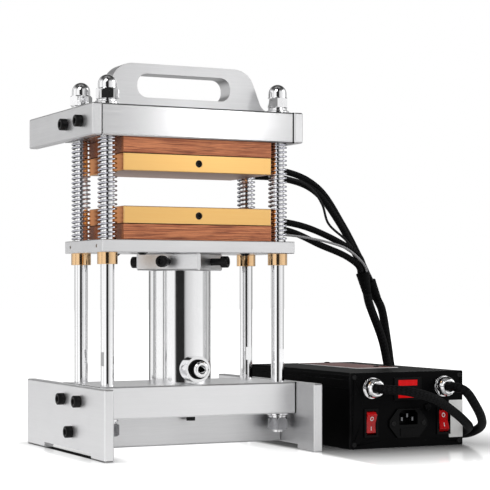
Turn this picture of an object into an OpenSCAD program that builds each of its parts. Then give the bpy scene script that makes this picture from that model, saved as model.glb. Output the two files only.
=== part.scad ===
// Hydraulic heat press with two heated platens and a separate control box.
// X runs along the front of the press, Y towards its back, Z up from the floor.
// The origin is the middle of the whole outfit's footprint, cables left out.

/* [Platens] */
// Width of each heated platen
platen_w = 178; // [150:1:210]
// Depth of each heated platen, front to back
platen_d = 104; // [96:1:108]
// Thickness of each heated platen
platen_t = 19.2; // [17:0.2:24]
// Thickness of each wood-grain insulating board
insulator_t = 17.3; // [12:0.1:20]
// Opening between the platens with the ram down
opening_h = 38; // [25:1:42]
// Bore of the temperature probe hole in each platen's front
probe_hole_d = 8; // [5:0.5:10]
// Depth of the temperature probe hole
probe_hole_l = 40; // [20:1:45]
// Diameter of a heating cartridge
heater_d = 8; // [6:0.5:8]
// Length of a heating cartridge inside its platen
heater_l = 88; // [60:1:90]

/* [Frame] */
// Diameter of a guide post
post_d = 15; // [14:0.5:16]
// Thread at both ends of a guide post
post_thread_d = 12; // [10:1:12]
// Distance from a platen's side to the middle of the posts beside it
post_clear = 14; // [14:0.5:20]
// Distance between the posts, front to back
post_pitch_y = 80.5; // [74:0.5:84]
// How far the top block reaches past the posts' middle at each side
top_over = 12.75; // [12.5:0.25:17]
// Depth of the top block
top_block_d = 111; // [108:1:116]
// Thickness of the top block
top_block_t = 34.5; // [30:0.5:40]
// How far the base block reaches past the posts' middle at each side
base_over = 15.25; // [14:0.25:20]
// Depth of the base block
base_d = 112; // [108:1:118]
// Thickness of the base block
base_t = 35; // [30:0.5:40]
// Height of the base block's underside above the floor
base_z = 40.5; // [38:0.5:50]
// Thickness of the side plates, at the base and at the top block
side_t = 11; // [8:0.5:14]
// How far the base side plates reach forward of the posts' middle
side_front = 99; // [85:1:105]
// How far all side plates reach behind the posts' middle
side_rear = 150; // [120:1:156]
// How far the upper side plates stand forward of the top block
ear_proud = 2; // [0:0.5:5]
// Height of the cut-out under a base side plate
notch_h = 6; // [5:0.5:10]
// Front end of that cut-out, forward of the posts' middle
notch_front = 60; // [40:1:70]
// Rear end of that cut-out, behind the posts' middle
notch_rear = 89; // [60:1:100]
// Depth of the bar under the base block
bar_d = 40; // [25:1:44]
// Chamfer along the edges of blocks and plates
edge_c = 1.5; // [0.5:0.1:2]

/* [Handle] */
// Height of the handle above the top block
handle_h = 50.7; // [46:0.1:60]
// Thickness of the handle
handle_t = 25; // [18:0.5:30]
// Length of each slanted end of the handle
handle_slant_l = 51; // [48:1:54]
// Distance from each end of the handle to that end of the top block
handle_inset = 2.75; // [2:0.25:5]
// Radius of the handle's shoulders
shoulder_r = 26; // [22:0.5:27]
// Radius of the hollow curve above the handle's foot
foot_r = 14; // [12:0.5:15]
// Distance from each end of the hand slot to that end of the handle's flat top
slot_inset = 5.3; // [4:0.1:12]
// Height of the hand slot
slot_h = 26.5; // [24:0.5:28]
// Height of the hand slot's lower edge above the top block
slot_z = 13.3; // [12:0.1:15]
// Corner radius of the hand slot
slot_r = 12; // [8:0.5:12]

/* [Moving plate] */
// Depth of the moving plate
moving_d = 116; // [110:1:120]
// Thickness of the moving plate
moving_t = 13.5; // [12:0.5:18]
// Outer diameter of a bronze guide bush
bush_d = 22; // [20:0.5:23]
// Length of a guide bush below the moving plate
bush_drop = 13; // [8:0.5:16]

/* [Return springs] */
// Wire thickness of a return spring
wire_d = 2.3; // [1.8:0.1:2.6]
// Outer diameter of a return spring
spring_d = 21.5; // [20.5:0.1:22.5]
// Curls in a return spring
spring_curls = 23; // [16:1:24]

/* [Ram] */
// Outer diameter of the ram's cylinder
cylinder_d = 70; // [66:0.5:74]
// Height of the ram's cylinder
cylinder_h = 125; // [115:1:130]
// Bore of the ram's cylinder
cylinder_bore_d = 50; // [48:0.5:52]
// Diameter of the piston rod
rod_d = 44; // [38:0.5:45]
// Side of the square clamp collar
collar_side = 76; // [70:0.5:80]
// Thickness of the clamp collar
collar_t = 19; // [16:0.5:24]
// Diameter of the round boss of the oil port
port_boss_d = 29; // [26:0.5:30]
// How far the port boss reaches forward of the ram's middle
port_reach = 50; // [46:0.5:54]
// Bore of the oil port fitting
port_bore_d = 9.5; // [8:0.5:11]

/* [Control box] */
// Width of the control box
box_w = 150; // [146:1:170]
// Height of the control box
box_h = 86; // [84:1:100]
// Depth of the control box
box_d = 252; // [200:1:260]
// Gap between the press's right side plate and the control box
box_gap = 38.75; // [30:0.25:60]
// Front of the control box, forward of the ram's middle
box_front = 92; // [80:1:100]
// Wall thickness of the control box
box_wall = 3; // [2:0.5:4]
// Height of the upper half of the box, above its seam
lid_h = 18; // [16:1:24]
// Length of a cable gland in front of the panel
gland_l = 15; // [13:0.5:20]
// Diameter of a cable gland's cap
gland_d = 22; // [20:0.5:24]
// How far a rocker switch tips
rocker_tilt = 9; // [5:0.5:10]

/* [Cables] */
// Diameter of a cable between the press and the box
trunk_d = 10.5; // [8:0.5:11]
// Diameter of a heater lead
lead_d = 8; // [6:0.5:8]
// Diameter of a sensor wire
sensor_wire_d = 3; // [2:0.5:4]

/* [Hidden] */

// Smoothness of round pieces
$fn = 48;
// Radial gap where one round piece sits in another
fit_gap = 0.05;
// Gap between pieces that move or lie loosely by each other
run_gap = 0.3;
// Overrun of every cut past the face that it goes through
over = 1;

// Colours, as red, green and blue shares
aluminium_share = [0.82, 0.83, 0.84];
chrome_share = [0.9, 0.91, 0.92];
steel_share = [0.7, 0.71, 0.73];
gold_share = [0.9, 0.72, 0.42];
wood_share = [0.6, 0.33, 0.2];
bronze_share = [0.72, 0.52, 0.28];
black_share = [0.09, 0.09, 0.1];
red_share = [0.82, 0.12, 0.13];
board_share = [0.12, 0.35, 0.2];

// Widths, from the platens outwards
post_pitch_x = platen_w + 2 * post_clear;
top_block_w = post_pitch_x + 2 * top_over;
base_w = post_pitch_x + 2 * base_over;
handle_foot_l = top_block_w - 2 * handle_inset;
handle_top_l = handle_foot_l - 2 * handle_slant_l;
slot_l = handle_top_l - 2 * slot_inset;
box_x = base_w / 2 + side_t + box_gap + box_w / 2;
box_right = box_x + box_w / 2;
// Heights of the stack, from the floor up
base_top = base_z + base_t;
// Gap between the cylinder and the collar with the ram down
collar_gap = 0.5;
collar_z = base_top + cylinder_h + collar_gap;
moving_z = collar_z + collar_t;
lower_insulator_z = moving_z + moving_t;
lower_platen_z = lower_insulator_z + insulator_t;
opening_z = lower_platen_z + platen_t;
upper_platen_z = opening_z + opening_h;
upper_insulator_z = upper_platen_z + platen_t;
top_z = upper_insulator_z + insulator_t;
top_top = top_z + top_block_t;
post_x = post_pitch_x / 2;
post_y = post_pitch_y / 2;
ear_front = top_block_d / 2 + ear_proud;

// Larger cap screws: thread, head, hexagon socket
m8_d = 8;
m6_d = 6;
cap_head_share = 1.625;
cap_socket_share = 0.75;
cap_socket_depth_share = 0.5;
m8_head_h = m8_d;
screw_bite = 24;
// Head of the small panel screws
panel_screw_head_h = 1;

// The origin lies in the middle of the footprint of press and box
press_x = -(box_x + box_w / 2 - base_w / 2 - side_t - m8_head_h) / 2;
press_y = -(max(side_rear, box_d - box_front + panel_screw_head_h)
    - max(side_front, box_front + gland_l)) / 2;

module at_press() { translate([press_x, press_y, 0]) children(); }
module at_box() { translate([press_x + box_x, press_y - box_front, 0]) children(); }

// Four places at the corners of a rectangle
function corner_places(x, y) = [[-x, -y], [x, -y], [-x, y], [x, y]];

// A rectangle with its corners cut off at 45 degrees
module cut_rectangle(w, h, c) {
    polygon([[-w / 2 + c, -h / 2], [w / 2 - c, -h / 2], [w / 2, -h / 2 + c], [w / 2, h / 2 - c],
             [w / 2 - c, h / 2], [-w / 2 + c, h / 2], [-w / 2, h / 2 - c], [-w / 2, -h / 2 + c]]);
}

// A block standing on z = 0, chamfered along all its edges
module chamfered_block(w, d, h, c) {
    intersection() {
        linear_extrude(h) cut_rectangle(w, d, c);
        translate([0, d / 2, h / 2]) rotate([90, 0, 0]) linear_extrude(d) cut_rectangle(w, h, c);
        translate([-w / 2, 0, h / 2]) rotate([90, 0, 90]) linear_extrude(w) cut_rectangle(d, h, c);
    }
}

// A bore along Z, from z = 0 up
module bore(d, l) {
    cylinder(d = d, h = l);
}

// A socket cap screw pointing down: its head stands on z = 0
module cap_screw(d, l) {
    difference() {
        union() {
            translate([0, 0, -l]) cylinder(d = d, h = l);
            cylinder(d = d * cap_head_share, h = d);
        }
        translate([0, 0, d - d * cap_socket_depth_share])
            cylinder(d = d * cap_socket_share / cos(30), h = d * cap_socket_depth_share + over, $fn = 6);
    }
}

// The threaded or clear hole that a screw of that size sits in
function screw_hole(d) = d + 2 * fit_gap;

// Base of the press
side_screw_in = 15.25;
side_screw_y = post_y - side_screw_in;
side_screw_rise = 18.5;
side_screw_z = base_z + side_screw_rise;
bar_screw_z = 24.5;
cylinder_screw_r = (cylinder_d + cylinder_bore_d) / 4;
cylinder_screw_bite = 9;
bar_z = notch_h + 0.5;

module base_block() {
    color(aluminium_share) at_press() difference() {
        translate([0, 0, base_z]) chamfered_block(base_w, base_d, base_t, edge_c);
        for (p = corner_places(post_x, post_y))
            translate([p[0], p[1], base_z - over]) bore(screw_hole(post_thread_d), base_t + 2 * over);
        for (s = [-1, 1]) translate([0, s * cylinder_screw_r, base_z - over])
            bore(screw_hole(m6_d), base_t + 2 * over);
        for (s = [-1, 1], y = [-side_screw_y, side_screw_y])
            translate([s * (base_w / 2 + over), y, side_screw_z]) rotate([0, -s * 90, 0])
                bore(screw_hole(m8_d), screw_bite + 2 * over);
    }
}

module base_side(s) {
    color(aluminium_share) at_press() difference() {
        translate([s * (base_w + side_t) / 2, (side_rear - side_front) / 2, 0])
            chamfered_block(side_t, side_front + side_rear, base_top, edge_c);
        translate([s * (base_w + side_t) / 2 - side_t, -notch_front, -over])
            cube([2 * side_t, notch_front + notch_rear, notch_h + over]);
        for (p = [[-side_screw_y, side_screw_z], [side_screw_y, side_screw_z], [0, bar_screw_z]])
            translate([s * (base_w / 2 - over), p[0], p[1]]) rotate([0, s * 90, 0])
                bore(screw_hole(m8_d), side_t + 2 * over);
    }
}
module base_side_left() { base_side(-1); }
module base_side_right() { base_side(1); }

module cross_bar() {
    color(aluminium_share) at_press() difference() {
        translate([0, 0, bar_z]) chamfered_block(base_w, bar_d, base_z - bar_z, edge_c);
        for (s = [-1, 1])
            translate([s * (base_w / 2 + over), 0, bar_screw_z]) rotate([0, -s * 90, 0])
                bore(screw_hole(m8_d), screw_bite + 2 * over);
    }
}

module base_side_screws() {
    color(black_share) at_press()
        for (s = [-1, 1], p = [[-side_screw_y, side_screw_z], [side_screw_y, side_screw_z], [0, bar_screw_z]])
            translate([s * (base_w / 2 + side_t), p[0], p[1]]) rotate([0, s * 90, 0])
                cap_screw(m8_d, side_t + screw_bite);
}

// Posts, washers and nuts
washer_d = 24;
washer_t = 2.5;
lock_washer_d = 21;
lock_washer_t = 3;
lock_split = 1.5;
nut_af = 19.5;
base_nut_h = 13;
stud_end = 3;
nut_hex_h = 11.5;
nut_dome_d = 18.4;
nut_dome_h = 14.5;
nut_bore_l = 13;
flat_af = 13;
flat_z = 22;
flat_l = 15;
post_end_c = 1;
stack_h = washer_t + lock_washer_t;

module guide_post(sx, sy) {
    stud_low = base_z - stack_h - base_nut_h - stud_end;
    color(chrome_share) at_press() translate([sx * post_x, sy * post_y, 0]) difference() {
        union() {
            translate([0, 0, base_top]) cylinder(d = post_d, h = top_z - base_top);
            translate([0, 0, stud_low]) cylinder(d = post_thread_d, h = base_top - stud_low);
            translate([0, 0, top_z])
                cylinder(d = post_thread_d, h = top_block_t + stack_h + nut_bore_l - post_end_c);
        }
        for (s = [-1, 1])
            translate([0, s * (flat_af + post_d) / 2, base_top + flat_z + flat_l / 2])
                cube([2 * post_d, post_d, flat_l], center = true);
    }
}
module guide_post_front_left() { guide_post(-1, -1); }
module guide_post_front_right() { guide_post(1, -1); }
module guide_post_rear_left() { guide_post(-1, 1); }
module guide_post_rear_right() { guide_post(1, 1); }

module base_nuts() {
    color(chrome_share) at_press() for (p = corner_places(post_x, post_y))
        translate([p[0], p[1], base_z - stack_h - base_nut_h]) difference() {
            cylinder(d = nut_af / cos(30), h = base_nut_h, $fn = 6);
            translate([0, 0, -over]) bore(screw_hole(post_thread_d), base_nut_h + 2 * over);
        }
}

module flat_washer() {
    difference() {
        cylinder(d = washer_d, h = washer_t);
        translate([0, 0, -over]) bore(screw_hole(post_thread_d), washer_t + 2 * over);
    }
}

module lock_washer() {
    difference() {
        cylinder(d = lock_washer_d, h = lock_washer_t);
        translate([0, 0, -over]) bore(screw_hole(post_thread_d), lock_washer_t + 2 * over);
        rotate([30, 0, 0]) translate([0, -lock_split / 2, -lock_washer_t])
            cube([lock_washer_d, lock_split, 4 * lock_washer_t]);
    }
}

module post_washers() {
    color(chrome_share) at_press() for (p = corner_places(post_x, post_y)) {
        translate([p[0], p[1], top_top]) flat_washer();
        translate([p[0], p[1], top_top + washer_t]) lock_washer();
        translate([p[0], p[1], base_z - washer_t]) flat_washer();
        translate([p[0], p[1], base_z - stack_h]) lock_washer();
    }
}

module acorn_nuts() {
    color(chrome_share) at_press() for (p = corner_places(post_x, post_y))
        translate([p[0], p[1], top_top + stack_h]) difference() {
            union() {
                cylinder(d = nut_af / cos(30), h = nut_hex_h, $fn = 6);
                cylinder(d = nut_dome_d, h = nut_hex_h + nut_dome_h - nut_dome_d / 2);
                translate([0, 0, nut_hex_h + nut_dome_h - nut_dome_d / 2]) sphere(d = nut_dome_d);
            }
            translate([0, 0, -over]) bore(screw_hole(post_thread_d), nut_bore_l + over);
        }
}

// Top block, its side plates and its screws
ear_screw_in = 16.75;
ear_screw_y = post_y - ear_screw_in;
platen_screw_in_x = 27;
platen_screw_in_y = 12;
platen_screw_x = platen_w / 2 - platen_screw_in_x;
platen_screw_y = platen_d / 2 - platen_screw_in_y;
heater_to_screw = 17;
heater_x = platen_screw_x - heater_to_screw;
platen_screw_bite = 8;
handle_screw_in = 38;
handle_screw_x = handle_foot_l / 2 - handle_screw_in;
handle_screw_bite = 14;
counterbore_d = 11;
handle_counterbore_d = 14;
head_sink = 0.5;
m6_sink = m6_d + head_sink;
m8_sink = m8_d + head_sink;

module top_block() {
    color(aluminium_share) at_press() translate([0, 0, top_z]) difference() {
        chamfered_block(top_block_w, top_block_d, top_block_t, edge_c);
        for (p = corner_places(post_x, post_y))
            translate([p[0], p[1], -over]) bore(screw_hole(post_thread_d), top_block_t + 2 * over);
        for (p = corner_places(platen_screw_x, platen_screw_y)) translate([p[0], p[1], 0]) {
            translate([0, 0, -over]) bore(screw_hole(m6_d), top_block_t + 2 * over);
            translate([0, 0, top_block_t - m6_sink]) bore(counterbore_d, m6_sink + over);
        }
        for (s = [-1, 1]) translate([s * handle_screw_x, 0, -over]) {
            bore(screw_hole(m8_d), top_block_t + 2 * over);
            bore(handle_counterbore_d, m8_sink + over);
        }
        for (s = [-1, 1], y = [-ear_screw_y, ear_screw_y])
            translate([s * (top_block_w / 2 + over), y, top_block_t / 2]) rotate([0, -s * 90, 0])
                bore(screw_hole(m8_d), screw_bite + 2 * over);
    }
}

module ear(s) {
    color(aluminium_share) at_press() translate([s * (top_block_w + side_t) / 2, 0, top_z]) difference() {
        translate([0, (side_rear - ear_front) / 2, 0])
            chamfered_block(side_t, ear_front + side_rear, top_block_t, edge_c);
        for (y = [-ear_screw_y, ear_screw_y])
            translate([-side_t, y, top_block_t / 2]) rotate([0, 90, 0]) bore(screw_hole(m8_d), 2 * side_t);
    }
}
module ear_left() { ear(-1); }
module ear_right() { ear(1); }

module ear_screws() {
    color(black_share) at_press() for (s = [-1, 1], y = [-ear_screw_y, ear_screw_y])
        translate([s * (top_block_w / 2 + side_t), y, top_z + top_block_t / 2]) rotate([0, s * 90, 0])
            cap_screw(m8_d, side_t + screw_bite);
}

module top_block_screws() {
    platen_l = top_block_t - m6_sink + insulator_t + platen_screw_bite;
    color(black_share) at_press() {
        for (p = corner_places(platen_screw_x, platen_screw_y))
            translate([p[0], p[1], top_top - m6_sink]) cap_screw(m6_d, platen_l);
        for (s = [-1, 1])
            translate([s * handle_screw_x, 0, top_z + m8_sink]) rotate([180, 0, 0])
                cap_screw(m8_d, top_block_t - m8_sink + handle_screw_bite);
    }
}

// Handle: shoulders and hollow curves joined by a slanted edge
foot_lip = 4;

// One side of the handle's outline, from its middle to its foot
module handle_half() {
    shoulder = [handle_top_l / 2, handle_h - shoulder_r];
    hollow_x = handle_foot_l / 2 - foot_lip - edge_c;
    hollow = [hollow_x, foot_lip + foot_r];
    reach = norm(hollow - shoulder);
    turn = atan2(hollow[1] - shoulder[1], hollow[0] - shoulder[0]) + acos((shoulder_r + foot_r) / reach);
    facing = [cos(turn), sin(turn)];
    difference() {
        intersection() {
            square([handle_foot_l / 2, handle_h]);
            union() {
                polygon([[0, 0], [handle_foot_l / 2, 0], [handle_foot_l / 2, foot_lip], [hollow_x, foot_lip],
                         hollow, hollow - foot_r * facing, shoulder + shoulder_r * facing, shoulder,
                         [handle_top_l / 2, handle_h], [0, handle_h]]);
                translate(shoulder) circle(r = shoulder_r);
            }
        }
        translate(hollow) circle(r = foot_r);
    }
}

// A rectangle with round corners, centred
module round_rectangle(w, h, r) {
    square([w - 2 * r, h], center = true);
    square([w, h - 2 * r], center = true);
    for (p = corner_places(w / 2 - r, h / 2 - r)) translate(p) circle(r = r);
}

module handle() {
    color(aluminium_share) at_press() translate([0, 0, top_top]) difference() {
        translate([0, handle_t / 2, 0]) rotate([90, 0, 0]) linear_extrude(handle_t) difference() {
            union() {
                handle_half();
                mirror([1, 0]) handle_half();
            }
            translate([0, slot_z + slot_h / 2]) round_rectangle(slot_l, slot_h, slot_r);
        }
        for (s = [-1, 1]) translate([s * handle_screw_x, 0, -over])
            bore(screw_hole(m8_d), handle_screw_bite + 2 * over);
    }
}

// Return springs: each is one tube along a helix whose end curls lie flat
rings_per_curl = 8;
wire_sides = 6;
flat_curls = 1;
end_gap = 0.7;
spring_l = top_z - lower_insulator_z;
spring_r = (spring_d - wire_d) / 2;
end_pitch = wire_d + end_gap;
spring_rise = spring_l - wire_d;
mid_pitch = (spring_rise - 2 * flat_curls * end_pitch) / (spring_curls - 2 * flat_curls);

// Height of the wire's middle after t curls
function spring_z(t) = t < flat_curls ? t * end_pitch
    : t > spring_curls - flat_curls ? spring_rise - (spring_curls - t) * end_pitch
    : flat_curls * end_pitch + (t - flat_curls) * mid_pitch;

spring_steps = spring_curls * rings_per_curl;
function spring_point(i) = let (t = i / rings_per_curl, a = 360 * t)
    [spring_r * cos(a), spring_r * sin(a), wire_d / 2 + spring_z(t)];

// The wire runs straight for its own thickness at both ends
spring_path = concat(
    [spring_point(0) + [0, -wire_d, 0]],
    [for (i = [0:spring_steps]) spring_point(i)],
    [spring_point(spring_steps) + [0, wire_d, 0]]
);

// Least gap between neighbouring curls, measured on points
spring_gap = min([for (i = [0:spring_steps - rings_per_curl], j = [-1, 0, 1])
    norm(spring_point(i + rings_per_curl + j) - spring_point(i))]) - wire_d;
echo(least_spring_gap_mm = spring_gap);

// Tube swept along a path: each ring stands across the path
function along(path, i) = let (n = len(path), a = path[max(i - 1, 0)], b = path[min(i + 1, n - 1)])
    (b - a) / norm(b - a);
function side_of(v) = let (c = abs(v[2]) > 0.9 ? cross([0, 1, 0], v) : cross(v, [0, 0, 1])) c / norm(c);
// Carries the ring's first direction along the path without twist
function carried(path, i, prev) = let (t = along(path, i), c = prev - (prev * t) * t) c / norm(c);
function ring_sides(path, i, list) = i >= len(path) ? list
    : ring_sides(path, i + 1, concat(list, [carried(path, i, list[i - 1])]));
function tube_points(path, r, n, sides) = [for (i = [0:len(path) - 1], k = [0:n - 1])
    let (t = along(path, i), u = sides[i], v = cross(t, u), a = 360 * (k + 0.5) / n)
        path[i] + r * (cos(a) * u + sin(a) * v)];
function tube_faces(m, n) = concat(
    [for (k = [1:n - 2]) [0, k + 1, k]],
    [for (i = [0:m - 2], k = [0:n - 1]) [i * n + k, i * n + (k + 1) % n, (i + 1) * n + k]],
    [for (i = [0:m - 2], k = [0:n - 1])
        [i * n + (k + 1) % n, (i + 1) * n + (k + 1) % n, (i + 1) * n + k]],
    [for (k = [1:n - 2]) [(m - 1) * n, (m - 1) * n + k, (m - 1) * n + k + 1]]
);
module tube(path, d, n) {
    sides = ring_sides(path, 1, [side_of(along(path, 0))]);
    polyhedron(points = tube_points(path, d / 2, n, sides), faces = tube_faces(len(path), n), convexity = 8);
}

module return_spring(sx, sy) {
    color(chrome_share) at_press() translate([sx * post_x, sy * post_y, lower_insulator_z])
        tube(spring_path, wire_d, wire_sides);
}
module spring_front_left() { return_spring(-1, -1); }
module spring_front_right() { return_spring(1, -1); }
module spring_rear_left() { return_spring(-1, 1); }
module spring_rear_right() { return_spring(1, 1); }

// Platens and insulating boards
sensor_d = 5;
sensor_l = 42;
tail_l = 4;

module insulator() {
    difference() {
        translate([0, 0, insulator_t / 2]) cube([platen_w, platen_d, insulator_t], center = true);
        for (p = corner_places(platen_screw_x, platen_screw_y))
            translate([p[0], p[1], -over]) bore(screw_hole(m6_d), insulator_t + 2 * over);
    }
}

// A platen with its screw holes in the lower face
module platen() {
    difference() {
        chamfered_block(platen_w, platen_d, platen_t, edge_c / 2);
        for (p = corner_places(platen_screw_x, platen_screw_y))
            translate([p[0], p[1], -over]) bore(screw_hole(m6_d), platen_screw_bite + 2 * over);
        translate([0, -platen_d / 2 - over, platen_t / 2]) rotate([-90, 0, 0])
            bore(probe_hole_d, probe_hole_l + over);
        for (s = [-1, 1]) translate([s * heater_x, platen_d / 2 + over, platen_t / 2]) rotate([90, 0, 0])
            bore(screw_hole(heater_d), heater_l + 2 * over);
        translate([0, platen_d / 2 + over, platen_t / 2]) rotate([90, 0, 0])
            bore(screw_hole(sensor_d), sensor_l + 2 * over);
    }
}

// Heating cartridges and temperature sensor of one platen, at its mid height
module heater_set() {
    for (s = [-1, 1]) translate([s * heater_x, platen_d / 2 + tail_l, 0]) rotate([90, 0, 0])
        cylinder(d = heater_d, h = heater_l + tail_l);
    translate([0, platen_d / 2 + tail_l, 0]) rotate([90, 0, 0]) cylinder(d = sensor_d, h = sensor_l + tail_l);
}

module upper_insulator() {
    color(wood_share) at_press() translate([0, 0, upper_insulator_z]) insulator();
}
module upper_platen() {
    color(gold_share) at_press() translate([0, 0, upper_insulator_z]) mirror([0, 0, 1]) platen();
}
module upper_heaters() {
    color(steel_share) at_press() translate([0, 0, upper_platen_z + platen_t / 2]) heater_set();
}
module lower_insulator() {
    color(wood_share) at_press() translate([0, 0, lower_insulator_z]) insulator();
}
module lower_platen() {
    color(gold_share) at_press() translate([0, 0, lower_platen_z]) platen();
}
module lower_heaters() {
    color(steel_share) at_press() translate([0, 0, lower_platen_z + platen_t / 2]) heater_set();
}

button_head_d = 12;
button_head_h = 2.6;
button_socket_af = 4;
button_socket_l = 1.6;

module lower_platen_screws() {
    color(black_share) at_press() for (p = corner_places(platen_screw_x, platen_screw_y))
        translate([p[0], p[1], moving_z]) difference() {
            union() {
                cylinder(d = m6_d, h = moving_t + insulator_t + platen_screw_bite);
                translate([0, 0, -button_head_h])
                    cylinder(d1 = m6_d, d2 = button_head_d, h = button_head_h);
            }
            translate([0, 0, -button_head_h - over])
                cylinder(d = button_socket_af / cos(30), h = button_socket_l + over, $fn = 6);
        }
}

// Moving plate with its guide bushes and the clamp collar
bush_neck_d = 19.6;
grub_d = 4;
grub_l = 3;

module moving_plate() {
    color(aluminium_share) at_press() translate([0, 0, moving_z]) difference() {
        chamfered_block(top_block_w, moving_d, moving_t, edge_c / 2);
        for (p = corner_places(post_x, post_y))
            translate([p[0], p[1], -over]) bore(screw_hole(bush_neck_d), moving_t + 2 * over);
        for (p = corner_places(platen_screw_x, platen_screw_y))
            translate([p[0], p[1], -over]) bore(screw_hole(m6_d), moving_t + 2 * over);
        for (s = [-1, 1], y = [-post_y, post_y])
            translate([s * (top_block_w / 2 + over), y, moving_t / 2]) rotate([0, -s * 90, 0])
                bore(grub_d, grub_l + over);
    }
}

module guide_bushes() {
    color(bronze_share) at_press() for (p = corner_places(post_x, post_y))
        translate([p[0], p[1], moving_z]) difference() {
            union() {
                translate([0, 0, -bush_drop]) cylinder(d = bush_d, h = bush_drop);
                cylinder(d = bush_neck_d, h = moving_t);
            }
            translate([0, 0, -bush_drop - over])
                bore(screw_hole(post_d), bush_drop + moving_t + 2 * over);
        }
}

collar_corner_c = 3;
collar_screw_stand = 12;

module ram_collar() {
    color(steel_share) at_press() translate([0, 0, collar_z]) difference() {
        rotate(45) intersection() {
            chamfered_block(collar_side, collar_side, collar_t, edge_c);
            linear_extrude(collar_t) cut_rectangle(collar_side, collar_side, collar_corner_c);
        }
        translate([0, 0, -over]) bore(screw_hole(rod_d), collar_t + 2 * over);
        for (a = [45:90:315]) translate([0, 0, collar_t / 2]) rotate([0, 90, a])
            bore(screw_hole(m8_d), collar_side);
    }
}

module collar_screws() {
    head_r = collar_side / 2 + collar_screw_stand;
    tip_r = rod_d / 2 + fit_gap;
    color(black_share) at_press() translate([0, 0, collar_z + collar_t / 2])
        for (a = [45:90:315]) rotate([0, 90, a]) translate([0, 0, head_r])
            cap_screw(m8_d, head_r - tip_r);
}

// Hydraulic ram
cylinder_floor = 12;
port_rise = 16.5;
port_z = base_top + port_rise;
port_pocket_d = 17.6;
port_pocket_l = 12;
port_way_d = 8;
port_nose = 10;
port_nose_c = 1.5;
seal_d = 21.8;
seal_t = 2.5;
piston_gap = 8.5;
piston_h = 25;
gland_ring_h = 14;
piston_groove_l = 5;
piston_groove_t = 2;

module ram_cylinder() {
    color(chrome_share) at_press() difference() {
        union() {
            translate([0, 0, base_top]) cylinder(d = cylinder_d, h = cylinder_h, $fn = 72);
            translate([0, -port_reach, port_z]) rotate([-90, 0, 0])
                cylinder(d = port_boss_d, h = port_reach);
        }
        translate([0, 0, base_top + cylinder_floor])
            bore(cylinder_bore_d, cylinder_h - cylinder_floor + over);
        for (s = [-1, 1]) translate([0, s * cylinder_screw_r, base_top - over])
            bore(screw_hole(m6_d), cylinder_screw_bite + 2 * over);
        translate([0, -port_reach - over, port_z]) rotate([-90, 0, 0]) {
            bore(screw_hole(port_pocket_d), port_pocket_l + over);
            bore(port_way_d, port_reach + over);
        }
    }
}

module ram_piston() {
    floor_z = base_top + cylinder_floor;
    color(chrome_share) at_press() difference() {
        union() {
            translate([0, 0, floor_z + piston_gap])
                cylinder(d = cylinder_bore_d - 2 * fit_gap, h = piston_h);
            translate([0, 0, floor_z + piston_gap])
                cylinder(d = rod_d, h = moving_z - floor_z - piston_gap);
        }
        translate([0, 0, floor_z + piston_gap + (piston_h - piston_groove_l) / 2]) difference() {
            cylinder(d = cylinder_bore_d + over, h = piston_groove_l);
            translate([0, 0, -over])
                cylinder(d = cylinder_bore_d - 2 * piston_groove_t, h = piston_groove_l + 2 * over);
        }
    }
}

module ram_gland() {
    color(steel_share) at_press() translate([0, 0, base_top + cylinder_h - gland_ring_h]) difference() {
        cylinder(d = cylinder_bore_d - 2 * fit_gap, h = gland_ring_h);
        translate([0, 0, -over]) bore(screw_hole(rod_d), gland_ring_h + 2 * over);
    }
}

// A flat ring standing on z = 0
module ring(outer, inner, h) {
    difference() {
        cylinder(d = outer, h = h);
        translate([0, 0, -over]) cylinder(d = inner, h = h + 2 * over);
    }
}

module piston_seal() {
    piston_mid = base_top + cylinder_floor + piston_gap + piston_h / 2;
    color(black_share) at_press() translate([0, 0, piston_mid - piston_groove_l / 2 + fit_gap])
        ring(cylinder_bore_d - 2 * fit_gap, cylinder_bore_d - 2 * piston_groove_t + 2 * fit_gap,
             piston_groove_l - 2 * fit_gap);
}

module port_seal() {
    color(black_share) at_press() translate([0, -port_reach, port_z]) rotate([90, 0, 0])
        ring(seal_d, screw_hole(port_pocket_d), seal_t);
}

module cylinder_screws() {
    color(black_share) at_press() for (s = [-1, 1])
        translate([0, s * cylinder_screw_r, base_z]) rotate([180, 0, 0])
            cap_screw(m6_d, base_t + cylinder_screw_bite);
}

module port_fitting() {
    color(chrome_share) at_press() translate([0, -port_reach + port_pocket_l, port_z]) rotate([90, 0, 0])
        difference() {
            union() {
                cylinder(d = port_pocket_d, h = port_pocket_l + port_nose - port_nose_c);
                translate([0, 0, port_pocket_l + port_nose - port_nose_c])
                    cylinder(d1 = port_pocket_d, d2 = port_pocket_d - 2 * port_nose_c, h = port_nose_c);
            }
            translate([0, 0, -over]) bore(port_bore_d, port_pocket_l + port_nose + 2 * over);
        }
}

// Control box: two extruded half shells, two panels and what they carry
side_step = 1.2;
corner_c = 3;
panel_corner_c = 1;
groove_z = 4.5;
groove_h = 1.2;
groove_t = 0.8;
channel_d = 7;
channel_in = 5;
m3_d = 3;
slot_rib_l = 2.5;
slot_rib_t = 1.5;
board_t = 1.6;
// Gap between a screw channel and the rib above it
rib_clear = 2;
board_z = channel_in + channel_d / 2 + rib_clear + slot_rib_t;

seam_z = box_h - lid_h;

module case_outline_upper() {
    polygon([[-box_w / 2, seam_z], [box_w / 2, seam_z], [box_w / 2, box_h - corner_c],
             [box_w / 2 - corner_c, box_h], [-box_w / 2 + corner_c, box_h], [-box_w / 2, box_h - corner_c]]);
}

module screw_channels(z) {
    for (s = [-1, 1]) translate([s * (box_w / 2 - channel_in), z]) circle(d = channel_d);
}
module channel_holes(z) {
    for (s = [-1, 1]) translate([s * (box_w / 2 - channel_in), z]) circle(d = screw_hole(m3_d));
}

module case_shell() {
    translate([0, box_d - box_wall, 0]) rotate([90, 0, 0]) linear_extrude(box_d - 2 * box_wall) children();
}

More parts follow.
